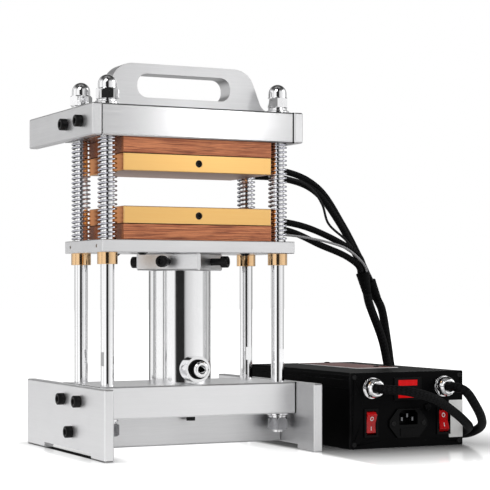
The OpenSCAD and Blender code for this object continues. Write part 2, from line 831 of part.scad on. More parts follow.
module case_upper() {
    color(black_share) at_box() case_shell() difference() {
        union() {
            difference() {
                case_outline_upper();
                translate([0, seam_z + (box_h - box_wall - seam_z) / 2 - over / 2])
                    square([box_w - 2 * box_wall, box_h - box_wall - seam_z + over], center = true);
            }
            intersection() {
                screw_channels(box_h - channel_in);
                case_outline_upper();
            }
        }
        channel_holes(box_h - channel_in);
        for (s = [-1, 1]) translate([s * box_w / 2, box_h - corner_c - groove_z])
            square([2 * groove_t, groove_h], center = true);
    }
}

module case_lower() {
    low_w = box_w - 2 * side_step;
    color(black_share) at_box() case_shell() difference() {
        union() {
            difference() {
                translate([0, seam_z / 2]) square([low_w, seam_z], center = true);
                translate([0, (seam_z + box_wall + over) / 2])
                    square([low_w - 2 * box_wall, seam_z - box_wall + over], center = true);
            }
            intersection() {
                screw_channels(channel_in);
                translate([0, seam_z / 2]) square([low_w, seam_z], center = true);
            }
            for (s = [-1, 1], z = [board_z - slot_rib_t, board_z + board_t + run_gap])
                translate([s * (low_w / 2 - box_wall - slot_rib_l / 2), z + slot_rib_t / 2])
                    square([slot_rib_l, slot_rib_t], center = true);
        }
        channel_holes(channel_in);
    }
}

// Places on the front panel: glands and display hang from its top, the rest stands about its middle
gland_x = 47.5;
gland_drop = 17.5;
gland_z = box_h - gland_drop;
gland_thread_d = 16;
display_drop = 19.5;
display_z = box_h - display_drop;
display_w = 36;
display_h = 26;
display_proud = 1.5;
display_body_w = 32;
display_body_h = 23;
display_body_l = 14;
window_w = 25.5;
window_h = 6.8;
window_t = 1.2;
window_pitch = 13.8;
rocker_x = 48.3;
rocker_drop = 14;
rocker_z = box_h / 2 - rocker_drop;
rocker_w = 12;
rocker_hole_h = 27.2;
frame_w = 18;
frame_h = 32;
frame_proud = 1.6;
frame_body_w = 14.6;
frame_body_h = 29;
frame_body_l = 15;
rocker_axis_y = 2;
trunnion_d = 3;
trunnion_l = 1;
inlet_drop = 15.5;
inlet_z = box_h / 2 - inlet_drop;
inlet_w = 28;
inlet_h = 33;
inlet_ear_w = 50;
inlet_ear_h = 7;
inlet_proud = 2.5;
inlet_body_w = 26.6;
inlet_body_h = 31;
inlet_body_l = 20;
inlet_screw_x = 20;
socket_w = 24.4;
socket_h = 16.6;
socket_l = 16;
socket_rise = 6.6;
socket_c = 4;
drawer_w = 22;
drawer_h = 8.6;
drawer_l = 14;
drawer_drop = 9.8;
drawer_proud = 0.8;
pin_w = 2;
pin_h = 4;
pin_l = 13;
pin_pitch = 14;
pin_drop = 2;
earth_rise = 4;
fuse_x = 26.4;
fuse_rise = 1.9;
fuse_z = box_h / 2 + fuse_rise;
fuse_d = 9;
fuse_proud = 3;
fuse_thread_d = 7;
fuse_l = 12;
panel_screw_head_d = 6;
panel_screw_l = 12;

module panel_plate() {
    rotate([90, 0, 0]) translate([0, 0, -box_wall]) linear_extrude(box_wall) difference() {
        polygon([[-box_w / 2, 0], [box_w / 2, 0], [box_w / 2, box_h - panel_corner_c],
                 [box_w / 2 - panel_corner_c, box_h], [-box_w / 2 + panel_corner_c, box_h],
                 [-box_w / 2, box_h - panel_corner_c]]);
        channel_holes(channel_in);
        channel_holes(box_h - channel_in);
        children();
    }
}

module front_panel() {
    color(black_share) at_box() panel_plate() {
        for (s = [-1, 1]) {
            translate([s * gland_x, gland_z]) circle(d = screw_hole(gland_thread_d));
            translate([s * rocker_x, rocker_z])
                square([frame_body_w + 2 * fit_gap, frame_body_h + 2 * fit_gap], center = true);
            translate([s * inlet_screw_x, inlet_z]) circle(d = screw_hole(m3_d));
        }
        translate([0, display_z])
            square([display_body_w + 2 * fit_gap, display_body_h + 2 * fit_gap], center = true);
        translate([0, inlet_z])
            square([inlet_body_w + 2 * fit_gap, inlet_body_h + 2 * fit_gap], center = true);
        translate([fuse_x, fuse_z]) circle(d = screw_hole(fuse_thread_d));
    }
}

module rear_panel() {
    color(black_share) at_box() translate([0, box_d - box_wall, 0]) panel_plate() { };
}

// A small pan-head screw pointing along +Y, its head in front of y = 0
module panel_screw(l) {
    rotate([90, 0, 0]) difference() {
        union() {
            translate([0, 0, -l]) cylinder(d = m3_d, h = l);
            cylinder(d1 = panel_screw_head_d, d2 = panel_screw_head_d - panel_screw_head_h,
                     h = panel_screw_head_h);
        }
        translate([0, 0, panel_screw_head_h / 2])
            cylinder(d = m3_d * cap_socket_share, h = panel_screw_head_h, $fn = 6);
    }
}

module panel_screws() {
    color(black_share) at_box() {
        for (s = [-1, 1], z = [channel_in, box_h - channel_in]) {
            translate([s * (box_w / 2 - channel_in), 0, z]) panel_screw(panel_screw_l);
            translate([s * (box_w / 2 - channel_in), box_d, z]) rotate(180) panel_screw(panel_screw_l);
        }
        for (s = [-1, 1]) translate([s * inlet_screw_x, -inlet_proud, inlet_z])
            panel_screw(inlet_proud + box_wall);
    }
}

relay_w = 28;
relay_d = 20;
relay_h = 16;
supply_w = 50;
supply_d = 40;
supply_h = 28;
board_d = 180;
board_inset = 45;

module control_board() {
    board_w = box_w - 2 * side_step - 2 * box_wall - 2 * run_gap;
    color(board_share) at_box() translate([0, 0, board_z]) union() {
        translate([-board_w / 2, board_inset, 0]) cube([board_w, board_d, board_t]);
        for (s = [-1, 1])
            translate([s * board_w / 4 - relay_w / 2, board_inset + relay_d, board_t])
                cube([relay_w, relay_d, relay_h]);
        translate([-supply_w / 2, board_inset + board_d / 2, board_t]) cube([supply_w, supply_d, supply_h]);
    }
}

window_z = [display_z - window_pitch / 2, display_z + window_pitch / 2];

module display_bezel() {
    color(black_share) at_box() translate([0, 0, display_z]) difference() {
        union() {
            translate([-display_w / 2, -display_proud, -display_h / 2])
                cube([display_w, display_proud, display_h]);
            translate([-display_body_w / 2, 0, -display_body_h / 2])
                cube([display_body_w, display_body_l, display_body_h]);
        }
        for (s = [-1, 1])
            translate([-window_w / 2, -display_proud - over, s * window_pitch / 2 - window_h / 2])
                cube([window_w, over + window_t + run_gap, window_h]);
    }
}

module display_windows() {
    color(red_share) at_box() for (z = window_z)
        translate([-window_w / 2 + fit_gap, -display_proud + run_gap, z - window_h / 2 + fit_gap])
            cube([window_w - 2 * fit_gap, window_t, window_h - 2 * fit_gap]);
}

module rocker_frames() {
    hole_w = rocker_w + 2 * run_gap;
    color(black_share) at_box() for (s = [-1, 1]) translate([s * rocker_x, 0, rocker_z]) difference() {
        union() {
            translate([-frame_w / 2, -frame_proud, -frame_h / 2]) cube([frame_w, frame_proud, frame_h]);
            translate([-frame_body_w / 2, 0, -frame_body_h / 2])
                cube([frame_body_w, frame_body_l, frame_body_h]);
        }
        translate([-hole_w / 2, -frame_proud - over, -rocker_hole_h / 2])
            cube([hole_w, frame_proud + frame_body_l - box_wall + over, rocker_hole_h]);
        translate([-frame_body_w, rocker_axis_y, 0]) rotate([0, 90, 0])
            bore(screw_hole(trunnion_d), 2 * frame_body_w);
    }
}

// A rocker: its outline turns about the pins, its ends are arcs round them
rocker_face = 4.6;
rocker_dip = 2.6;
rocker_half = 10.4;
rocker_end_r = 13.2;
rocker_back = 6;
rocker_back_half = 9;

module rocker(s, tilt) {
    color(red_share) at_box() translate([s * rocker_x, rocker_axis_y, rocker_z]) rotate([tilt, 0, 0]) {
        translate([-rocker_w / 2, 0, 0]) rotate([90, 0, 90]) linear_extrude(rocker_w) intersection() {
            polygon([[rocker_back, -rocker_back_half], [0, -rocker_end_r], [-rocker_face, -rocker_half],
                     [-rocker_dip, 0], [-rocker_face, rocker_half], [0, rocker_end_r],
                     [rocker_back, rocker_back_half]]);
            circle(r = rocker_end_r);
        }
        translate([-rocker_w / 2 - trunnion_l, 0, 0]) rotate([0, 90, 0])
            cylinder(d = trunnion_d, h = rocker_w + 2 * trunnion_l);
    }
}
module rocker_left() { rocker(-1, rocker_tilt); }
module rocker_right() { rocker(1, -rocker_tilt); }

module power_inlet() {
    color(black_share) at_box() translate([0, 0, inlet_z]) {
        difference() {
            union() {
                rotate([90, 0, 0]) linear_extrude(inlet_proud) polygon([
                    [-inlet_w / 2, -inlet_h / 2], [inlet_w / 2, -inlet_h / 2],
                    [inlet_ear_w / 2, -inlet_ear_h / 2], [inlet_ear_w / 2, inlet_ear_h / 2],
                    [inlet_w / 2, inlet_h / 2], [-inlet_w / 2, inlet_h / 2],
                    [-inlet_ear_w / 2, inlet_ear_h / 2], [-inlet_ear_w / 2, -inlet_ear_h / 2]]);
                translate([-inlet_body_w / 2, 0, -inlet_body_h / 2])
                    cube([inlet_body_w, inlet_body_l, inlet_body_h]);
            }
            translate([0, socket_l - inlet_proud, socket_rise]) rotate([90, 0, 0])
                linear_extrude(socket_l + over) polygon([
                    [-socket_w / 2, -socket_h / 2], [socket_w / 2, -socket_h / 2],
                    [socket_w / 2, socket_h / 2 - socket_c], [socket_w / 2 - socket_c, socket_h / 2],
                    [-socket_w / 2 + socket_c, socket_h / 2], [-socket_w / 2, socket_h / 2 - socket_c]]);
            translate([-drawer_w / 2, -inlet_proud - over, -drawer_drop - drawer_h / 2])
                cube([drawer_w, drawer_l + inlet_proud + over, drawer_h]);
            for (s = [-1, 1]) translate([s * inlet_screw_x, -inlet_proud - over, 0]) rotate([-90, 0, 0])
                bore(screw_hole(m3_d), inlet_proud + 2 * over);
        }
        translate([-drawer_w / 2 + fit_gap, -inlet_proud - drawer_proud,
                   -drawer_drop - drawer_h / 2 + fit_gap])
            cube([drawer_w - 2 * fit_gap, drawer_l + inlet_proud + drawer_proud, drawer_h - 2 * fit_gap]);
    }
}

// Pins stand on the floor of the socket
module inlet_pin(x, z) {
    translate([x - pin_w / 2, socket_l - inlet_proud - pin_l, inlet_z + socket_rise + z - pin_h / 2])
        cube([pin_w, pin_l, pin_h]);
}
module inlet_pins() {
    color(chrome_share) at_box() {
        for (s = [-1, 1]) inlet_pin(s * pin_pitch / 2, -pin_drop);
        inlet_pin(0, earth_rise - pin_drop);
    }
}

module fuse_cap() {
    color(black_share) at_box() translate([fuse_x, 0, fuse_z]) rotate([90, 0, 0]) {
        cylinder(d1 = fuse_d, d2 = fuse_d - fuse_proud / 2, h = fuse_proud);
        translate([0, 0, -fuse_l]) cylinder(d = fuse_thread_d, h = fuse_l);
    }
}

// Cable glands: a body with a flange and a hexagon, and a domed cap
gland_flange_t = 2.5;
gland_hex_l = 4;
gland_flange_d = 24;
gland_hex_af = 20;
gland_inner_l = 9;
gland_lock_t = 4;
cap_wall = 2;
cap_lip_d = trunk_d + 2 * cap_wall;
cap_dome_share = 0.75;

module gland_bodies() {
    color(chrome_share) at_box() for (s = [-1, 1]) translate([s * gland_x, 0, gland_z]) rotate([90, 0, 0])
        difference() {
            union() {
                cylinder(d = gland_flange_d, h = gland_flange_t);
                cylinder(d = gland_hex_af / cos(30), h = gland_flange_t + gland_hex_l, $fn = 6);
                translate([0, 0, -gland_inner_l]) cylinder(d = gland_thread_d, h = gland_inner_l);
                translate([0, 0, -box_wall - gland_lock_t])
                    cylinder(d = gland_hex_af / cos(30), h = gland_lock_t, $fn = 6);
            }
            translate([0, 0, -gland_inner_l - over])
                bore(trunk_d - cap_wall, gland_inner_l + gland_flange_t + gland_hex_l + 2 * over);
        }
}

module gland_caps() {
    start = gland_flange_t + gland_hex_l;
    color(chrome_share) at_box() for (s = [-1, 1]) translate([s * gland_x, -start, gland_z])
        rotate([90, 0, 0]) difference() {
            rotate_extrude() polygon([
                [0, 0], [gland_d / 2, 0], [gland_d / 2, (gland_l - start) / 2],
                [gland_d / 2 - cap_wall / 2, (gland_l - start) * cap_dome_share],
                [cap_lip_d / 2 + cap_wall / 2, gland_l - start], [0, gland_l - start]]);
            translate([0, 0, -over]) bore(trunk_d + cap_wall, gland_l - start + 2 * over);
        }
}

// Free cables. Each route is a list of points from the press's middle, in millimetres.
// Points beside the control box count their x from the box's right side
function by_box(points) = [for (p = points) [box_right + p[0], p[1], p[2]]];

// Straight run of each lead behind its platen: left, right and sensor, upper and then lower
lead_runs = [16, 14, 10, 14, 10, 8];
lead_y = platen_d / 2 + tail_l;
upper_lead_z = upper_platen_z + platen_t / 2;
lower_lead_z = lower_platen_z + platen_t / 2;
function out_of_platen(x, z, run) = [[x, lead_y, z], [x, lead_y + run, z]];

// Splice boots: foot, tilt to the left and length, right boot first
boot_feet = by_box([[2, 104, 167], [-24, 86, 175.5]]);
boot_tilts = [28, 14];
boot_h = 26;
boot_rim = 0.5;
boot_top_d = 2 * (lead_d + boot_rim);
boot_bottom_d = trunk_d + 2 * fit_gap;
function boot_up(k) = [-sin(boot_tilts[k]), 0, cos(boot_tilts[k])];
function boot_side(k) = [cos(boot_tilts[k]), 0, sin(boot_tilts[k])];

// Seats of the leads on the boots' tops: angle from the boot's side, distance and straight run
pair_r = lead_d / 2 + 4 * fit_gap;
sensor_r = (boot_top_d - sensor_wire_d) / 2 - boot_rim;
seat_angles = [37, 217, -75, 26, 206, -63];
seat_radii = [pair_r, pair_r, sensor_r, pair_r, pair_r, sensor_r];
seat_runs = [12, 12, 8, 12, 8, 6];
function onto_boot(k, i) = let (seat = boot_feet[k] + (boot_h + fit_gap) * boot_up(k)
        + seat_radii[i] * (cos(seat_angles[i]) * boot_side(k) + [0, sin(seat_angles[i]), 0]))
    [seat + seat_runs[i] * boot_up(k), seat];
trunk_run = 13;
function out_of_boot(k) = [boot_feet[k] - fit_gap * boot_up(k), boot_feet[k] - trunk_run * boot_up(k)];

lead_a_route = concat(out_of_platen(-heater_x, upper_lead_z, lead_runs[0]),
    [[-26, 106, 320], [30, 115, 324]],
    by_box([[-124, 115, 326], [-78, 115, 307], [-42, 115, 261], [-18, 113, 219]]), onto_boot(0, 0));
lead_b_route = concat(out_of_platen(heater_x, upper_lead_z, lead_runs[1]), [[68, 100, 316]],
    by_box([[-130, 105, 316], [-88, 105, 302], [-51, 105, 260], [-27, 104, 218]]), onto_boot(0, 1));
sensor_a_route = concat(out_of_platen(0, upper_lead_z, lead_runs[2]), [[36, 97, 326]],
    by_box([[-133, 97, 318], [-100, 97, 307], [-82, 97, 286], [-73, 97, 262], [-48, 96, 241],
            [-27, 94.5, 216]]), onto_boot(0, 2));
lead_c_route = concat(out_of_platen(-heater_x, lower_lead_z, lead_runs[3]), [[-10, 90, 261]],
    by_box([[-137, 90, 262], [-84, 89, 248], [-36, 88, 223]]), onto_boot(1, 3));
lead_d_route = concat(out_of_platen(heater_x, lower_lead_z, lead_runs[4]), [[84, 80, 254]],
    by_box([[-142, 81, 252], [-92, 81, 234], [-55, 81, 220]]), onto_boot(1, 4));
sensor_b_route = concat(out_of_platen(0, lower_lead_z, lead_runs[5]), [[30, 71, 249]],
    by_box([[-136, 72, 245], [-84, 72, 237], [-56, 74, 228]]), onto_boot(1, 5));

// Straight run of each cable in front of its gland: right, then left
gland_runs = [23.5, 22.5];
gland_seat_y = -box_front - gland_flange_t - gland_hex_l;
function into_gland(s, run) = [[box_x + s * gland_x, gland_seat_y - run, gland_z],
    [box_x + s * gland_x, gland_seat_y, gland_z]];

trunk_a_route = concat(out_of_boot(0), by_box([[16, 102, 110], [19, 98, 78], [22, 80, 36],
    [22, 44, 10], [21, -20, 7], [21, -72, 11], [17, -104, 21], [3, -126, 33], [-11, -135, 48],
    [-23, -134, 64]]), into_gland(1, gland_runs[0]));
trunk_b_route = concat(out_of_boot(1), by_box([[-1.5, 86.5, 117], [6, 87, 88], [9, 76, 42],
    [9, 44, 12], [9, -16, 6], [8, -66, 10], [6.5, -94, 19], [-10, -114, 27], [-36, -129, 41],
    [-70, -139, 58], [-104, -136, 67]]), into_gland(-1, gland_runs[1]));

cord_sides = 8;
thick_cord_sides = 10;

module splice_boots() {
    color(black_share) at_press() for (k = [0, 1]) translate(boot_feet[k])
        rotate([0, -boot_tilts[k], 0]) cylinder(d1 = boot_bottom_d, d2 = boot_top_d, h = boot_h);
}
module upper_leads() {
    color(black_share) at_press() {
        tube(lead_a_route, lead_d, cord_sides);
        tube(lead_b_route, lead_d, cord_sides);
        tube(sensor_a_route, sensor_wire_d, cord_sides);
    }
}
module lower_leads() {
    color(black_share) at_press() {
        tube(lead_c_route, lead_d, cord_sides);
        tube(lead_d_route, lead_d, cord_sides);
        tube(sensor_b_route, sensor_wire_d, cord_sides);
    }
}
module control_cables() {
    color(black_share) at_press() {
        tube(trunk_a_route, trunk_d, thick_cord_sides);
        tube(trunk_b_route, trunk_d, thick_cord_sides);
    }
}

base_block();
base_side_left();
base_side_right();
cross_bar();
base_side_screws();
guide_post_front_left();
guide_post_front_right();
guide_post_rear_left();
guide_post_rear_right();
base_nuts();
post_washers();
acorn_nuts();
top_block();
ear_left();
ear_right();
ear_screws();
handle();
top_block_screws();
spring_front_left();
spring_front_right();
spring_rear_left();
spring_rear_right();
upper_insulator();
upper_platen();
upper_heaters();
lower_insulator();
lower_platen();
lower_platen_screws();
lower_heaters();
moving_plate();
guide_bushes();
ram_collar();
collar_screws();
ram_cylinder();
ram_piston();
ram_gland();
piston_seal();
cylinder_screws();
port_seal();
port_fitting();
case_lower();
case_upper();
front_panel();
rear_panel();
panel_screws();
control_board();
display_bezel();
display_windows();
rocker_frames();
rocker_left();
rocker_right();
power_inlet();
inlet_pins();
fuse_cap();
gland_bodies();
gland_caps();
splice_boots();
upper_leads();
lower_leads();
control_cables();
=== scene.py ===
"""Looks of a hydraulic heat press and its control box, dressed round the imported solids."""

import functools
import logging
import math
from dataclasses import dataclass, field
from enum import Enum
from typing import Callable, Sequence

import bmesh
import bpy
from mathutils import Matrix, Vector


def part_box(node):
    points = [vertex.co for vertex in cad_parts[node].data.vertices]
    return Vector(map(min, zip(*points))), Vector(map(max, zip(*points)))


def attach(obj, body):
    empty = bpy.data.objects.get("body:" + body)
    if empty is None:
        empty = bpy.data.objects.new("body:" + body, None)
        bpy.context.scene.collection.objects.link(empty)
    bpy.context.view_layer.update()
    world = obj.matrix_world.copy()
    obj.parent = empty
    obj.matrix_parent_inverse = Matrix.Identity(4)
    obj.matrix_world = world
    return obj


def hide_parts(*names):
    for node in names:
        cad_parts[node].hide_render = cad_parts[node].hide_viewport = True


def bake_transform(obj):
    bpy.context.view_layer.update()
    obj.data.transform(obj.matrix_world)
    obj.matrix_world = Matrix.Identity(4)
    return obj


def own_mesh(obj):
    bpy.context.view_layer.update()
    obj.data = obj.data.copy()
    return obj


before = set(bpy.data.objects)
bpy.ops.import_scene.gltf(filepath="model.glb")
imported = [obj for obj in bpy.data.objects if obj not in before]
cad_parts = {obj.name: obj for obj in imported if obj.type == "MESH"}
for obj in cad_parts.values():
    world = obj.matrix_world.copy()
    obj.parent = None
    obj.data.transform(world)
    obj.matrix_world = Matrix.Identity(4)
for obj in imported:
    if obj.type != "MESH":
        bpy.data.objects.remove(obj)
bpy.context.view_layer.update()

LOG = logging.getLogger("heat_press")

MM = 0.001
PRESS = Vector((-90.375, -27.0, 0.0))
BOX = PRESS + Vector((243.0, -92.0, 0.0))
POST_X, POST_Y = 103.0, 40.25
FULL_TURN = 2 * math.pi
QUARTER = math.pi / 2
SHARP = 32.0
WHITE = (1.0, 1.0, 1.0, 1.0)
ZERO = (0.0, 0.0, 0.0)
USUAL = (0.3, 0.7)  # Nearly all values of a noise lie here.
PAST_HEX = 99.0  # A radius beyond all flats, so that the hexagon cuts the whole ring.
CAD_WELD = 0.00001
TURNED_WELD = 0.000002
NO_LENGTH = 0.000001
ONE_PLANE = math.radians(1.0)

Point = tuple[float, float, float]
Spot = tuple[float, float]
Tone = tuple[int, int, int]
Item = bpy.types.Object
Socket = bpy.types.NodeSocket
Sockets = bpy.types.bpy_prop_collection
Tree = bpy.types.NodeTree


class Body(Enum):
    """The CAD bodies that a piece may ride on."""

    FRAME = "frame"
    CARRIAGE = "carriage"
    ROCKER_LEFT = "rocker_left"
    ROCKER_RIGHT = "rocker_right"


class Along(Enum):
    """The direction that a machined or rolled grain runs in."""

    X = (0.02, 1.0, 1.0)
    Y = (1.0, 0.02, 1.0)


def tint(*shares: int) -> tuple[float, float, float, float]:
    """Turns a screen colour, with shares from 0 to 255, into the linear one that a shader takes."""
    levels = (share / 255 for share in shares)
    return (*(x / 12.92 if x <= 0.04045 else ((x + 0.055) / 1.055) ** 2.4 for x in levels), 1.0)


def cool(level: int) -> Tone:
    """Returns a grey with a trace of blue."""
    return (level, level, level + 1)


class Graph:
    """Adds nodes to one tree and joins them."""

    def __init__(self, tree: Tree) -> None:
        """Keeps the tree that the nodes go into."""
        self.tree = tree

    def add(self, kind: str, settings: dict | None = None, **inputs: object) -> bpy.types.Node:
        """Adds one node.

        Args:
            kind: Type name of the node.
            settings: Properties of the node itself.
            **inputs: Values or sockets by input name, with _ for a space, or i0, i1 for its place.

        Returns:
            The new node.
        """
        node = self.tree.nodes.new(kind)
        for name, value in (settings or {}).items():
            setattr(node, name, value)
        for name, value in inputs.items():
            place = int(name[1:]) if name[0] == "i" and name[1:].isdigit() else name.replace("_", " ")
            self.feed(value, node.inputs[place])
        return node

    def feed(self, value: object, socket: Socket) -> None:
        """Joins a socket, or sets a plain value, to an input.

        Args:
            value: The socket or the plain value.
            socket: The input.
        """
        if isinstance(value, bpy.types.NodeSocket):
            self.tree.links.new(value, socket)
        else:
            socket.default_value = value

    def math(self, operation: str, *values: object) -> Socket:
        """Adds a Math node and returns its result."""
        inputs = {f"i{n}": value for n, value in enumerate(values)}
        return self.add("ShaderNodeMath", {"operation": operation}, **inputs).outputs[0]

    def times(self, *values: object) -> Socket:
        """Multiplies two or more values and returns the product."""
        return functools.reduce(functools.partial(self.math, "MULTIPLY"), values)

    def rest(self, value: object) -> Socket:
        """Returns what a value leaves of one."""
        return self.math("SUBTRACT", 1.0, value)

    def mix(self, factor: object, first: object, second: object) -> Socket:
        """Mixes two colours by a factor and returns the result."""
        return self.add("ShaderNodeMix", {"data_type": "RGBA"}, i0=factor, i6=first, i7=second).outputs[2]

    def ramp(self, factor: object, low: float, high: float, out_low: float = 0.0,
             out_high: float = 1.0) -> Socket:
        """Maps a value from one range to another, held at both ends, and returns the result."""
        return self.add("ShaderNodeMapRange", {"clamp": True}, i0=factor, i1=low, i2=high,
                        i3=out_low, i4=out_high).outputs[0]

    def noise(self, place: object, scale: float, detail: float = 3.0, rough: float = 0.55) -> Socket:
        """Adds a noise of that scale, in cells for each metre, and returns its value."""
        made = self.add("ShaderNodeTexNoise", Vector=place, Scale=scale, Detail=detail, Roughness=rough)
        return made.outputs[0]

    def stretched(self, place: object, scale: Point) -> Socket:
        """Scales a place unevenly along the three axes and returns it."""
        return self.add("ShaderNodeMapping", Vector=place, Scale=scale).outputs[0]

    def split(self, vector: object) -> Sockets:
        """Returns the three parts of a vector."""
        return self.add("ShaderNodeSeparateXYZ", i0=vector).outputs

    def hypotenuse(self, *sides: object) -> Socket:
        """Returns the long side of a right-angled triangle from the two short ones."""
        return self.math("SQRT", self.math("ADD", *(self.math("POWER", side, 2.0) for side in sides)))


def shared_effect(name: str, outputs: Sequence[str], **inputs: object) -> Callable:
    """Turns a function that fills a shader group into one that returns the group, built once.

    Args:
        name: Name of the group.
        outputs: Names of its outputs, each a number.
        **inputs: Default value of each input, three numbers for a vector.

    Returns:
        The decorator.
    """
    def wrap(fill: Callable[[Graph, Sockets, Sockets], None]) -> Callable[[], Tree]:
        """Puts the making of the sockets and the cache round the filling.

        Args:
            fill: Fills the group, given its graph, its inputs and its outputs.

        Returns:
            The function that builds the group.
        """
        @functools.cache
        def build() -> Tree:
            """Makes the group with its sockets and fills it.

            Returns:
                The group.
            """
            tree = bpy.data.node_groups.new(name, "ShaderNodeTree")
            for label, value in inputs.items():
                socket = tree.interface.new_socket(
                    name=label.replace("_", " "), in_out="INPUT",
                    socket_type="NodeSocketVector" if isinstance(value, tuple) else "NodeSocketFloat")
                socket.default_value = value
            for label in outputs:
                tree.interface.new_socket(name=label, in_out="OUTPUT", socket_type="NodeSocketFloat")
            given, out = tree.nodes.new("NodeGroupInput"), tree.nodes.new("NodeGroupOutput")
            fill(Graph(tree), given.outputs, out.inputs)
            return tree
        return build
    return wrap


@shared_effect("Machined grain", ("Lines", "Cloud"), Place=ZERO, Even_Place=ZERO)
def grain_tree(g: Graph, given: Sockets, out: Sockets) -> None:
    """Lays fine parallel lines, as a belt, a mill or a die leaves them, and slow clouds.

    Args:
        g: Graph of the group.
        given: The group's inputs.
        out: The group's outputs.
    """
    fine, broad = g.noise(given["Place"], 2600.0, 4.0, 0.7), g.noise(given["Place"], 420.0, 2.0)
    g.feed(g.ramp(g.math("ADD", g.times(fine, 0.65), g.times(broad, 0.35)), 0.32, 0.68), out["Lines"])
    g.feed(g.ramp(g.noise(given["Even Place"], 16.0, 2.0), *USUAL), out["Cloud"])


@shared_effect("Rubbed edge", ("Edge",), Place=ZERO, Amount=1.0)
def wear_and_sheen_tree(g: Graph, given: Sockets, out: Sockets) -> None:
    """Masks the eased edges, which the mesh marks, and breaks the mask up by a noise; finishes use it for
    rubbed wear and, on bare metal, for a painted edge highlight.

    Args:
        g: Graph of the group.
        given: The group's inputs.
        out: The group's outputs.
    """
    edge = g.add("ShaderNodeAttribute", {"attribute_name": "edge"}).outputs["Fac"]
    patches = g.ramp(g.noise(given["Place"], 260.0, 4.0), 0.35, 0.65)
    g.feed(g.times(edge, patches, given["Amount"]), out["Edge"])


@shared_effect("Fine tooth", ("Tooth", "Cloud"), Place=ZERO, Size=3000.0)
def speck_tree(g: Graph, given: Sockets, out: Sockets) -> None:
    """Lays the tooth of moulded, painted or blacked surfaces and slow changes of tone.

    Args:
        g: Graph of the group.
        given: The group's inputs.
        out: The group's outputs.
    """
    g.feed(g.noise(given["Place"], given["Size"], 2.0), out["Tooth"])
    g.feed(g.ramp(g.noise(given["Place"], 34.0), *USUAL), out["Cloud"])


@shared_effect("Braid", ("Height", "Light"), Place=ZERO, Strands=8.0, Crossings=300.0)
def braid_tree(g: Graph, given: Sockets, out: Sockets) -> None:
    """Crosses two sets of strands over a round sleeve, on its UV map.

    Args:
        g: Graph of the group.
        given: The group's inputs.
        out: The group's outputs.
    """
    parts = g.split(given["Place"])
    around, down = g.times(parts[0], given["Strands"]), g.times(parts[1], given["Crossings"])
    left, right = (g.math("ABSOLUTE", g.math("SINE", g.times(g.math(way, around, down), math.pi)))
                   for way in ("ADD", "SUBTRACT"))
    over = g.math("GREATER_THAN", g.math("SINE", g.times(around, FULL_TURN)), 0.0)
    woven = g.math("ADD", g.times(left, over), g.times(right, g.rest(over)))
    g.feed(woven, out["Height"])
    g.feed(g.ramp(woven, 0.1, 0.9), out["Light"])


class Surface(Graph):
    """The graph of one material, with its shader and the place on the object."""

    def __init__(self, material: bpy.types.Material) -> None:
        """Keeps the shader and adds the place.

        Args:
            material: The material, which has nodes.
        """
        super().__init__(material.node_tree)
        self.shader = material.node_tree.nodes["Principled BSDF"]
        self.place = self.add("ShaderNodeTexCoord").outputs["Object"]

    @property
    def colour(self) -> Socket:
        """The colour that the shader has been given so far."""
        return self.shader.inputs["Base Color"].links[0].from_socket

    def give(self, **inputs: object) -> None:
        """Feeds the shader's inputs, named with _ for a space."""
        for name, value in inputs.items():
            self.feed(value, self.shader.inputs[name.replace("_", " ")])

    def effect(self, tree: Callable[[], Tree], **inputs: object) -> Sockets:
        """Sets a shared effect at the place, or at another one that is given, and returns its outputs."""
        return self.add("ShaderNodeGroup", {"node_tree": tree()}, **{"Place": self.place, **inputs}).outputs

    def bump(self, height: Socket, strength: float, depth: float) -> None:
        """Raises the surface by a height, in metres at full height."""
        made = self.add("ShaderNodeBump", Height=height, Strength=strength, Distance=depth)
        self.give(Normal=made.outputs[0])


def new_material(name: str) -> bpy.types.Material:
    """Makes a material with nodes.

    Args:
        name: Name of the material.

    Returns:
        The material.
    """
    made = bpy.data.materials.new(name)
    made.use_nodes = True
    return made


@dataclass(frozen=True)
class Finish:
    """Base of all finishes: a named material made once, with one shader."""

    name: str

    def material(self) -> bpy.types.Material:
        """Finds the material, or makes it at its first use.

        Returns:
            The material.
        """
        made = bpy.data.materials.get(self.name)
        if not made:
            made = new_material(self.name)
            self.shade(Surface(made))
        return made

    def shade(self, s: Surface) -> None:
        """Fills the material. Each finish says how."""
        raise NotImplementedError


@dataclass(frozen=True)
class MachinedMetal(Finish):
    """Milled, ground or drawn metal with parallel lines."""

    dark: Tone
    light: Tone
    along: Along = Along.X
    rough: float = 0.3
    spread: float = 0.08
    metallic: float = 1.0
    # Share of the painted highlight on the eased edges.
    wear_and_sheen: float = 0.4
    line_depth: float = 0.00002
    cloud: float = 0.4

    def shade(self, s: Surface) -> None:
        """Lays lines, slow clouds and near-white edges, a painted highlight, over the metal.

        Args:
            s: Graph of the material.
        """
        grain = s.effect(grain_tree, Place=s.stretched(s.place, self.along.value), Even_Place=s.place)
        edge = s.effect(wear_and_sheen_tree, Amount=self.wear_and_sheen)["Edge"]
        tone = s.math("ADD", s.times(grain["Lines"], 1 - self.cloud), s.times(grain["Cloud"], self.cloud))
        colour = s.mix(tone, tint(*self.dark), tint(*self.light))
        # Painted highlight: the eased edges are mixed towards near-white.
        s.give(Base_Color=s.mix(edge, colour, tint(250, 250, 252)), Metallic=self.metallic,
               Roughness=s.ramp(grain["Lines"], 0.0, 1.0, self.rough, self.rough + self.spread))
        s.bump(grain["Lines"], 0.25, self.line_depth)


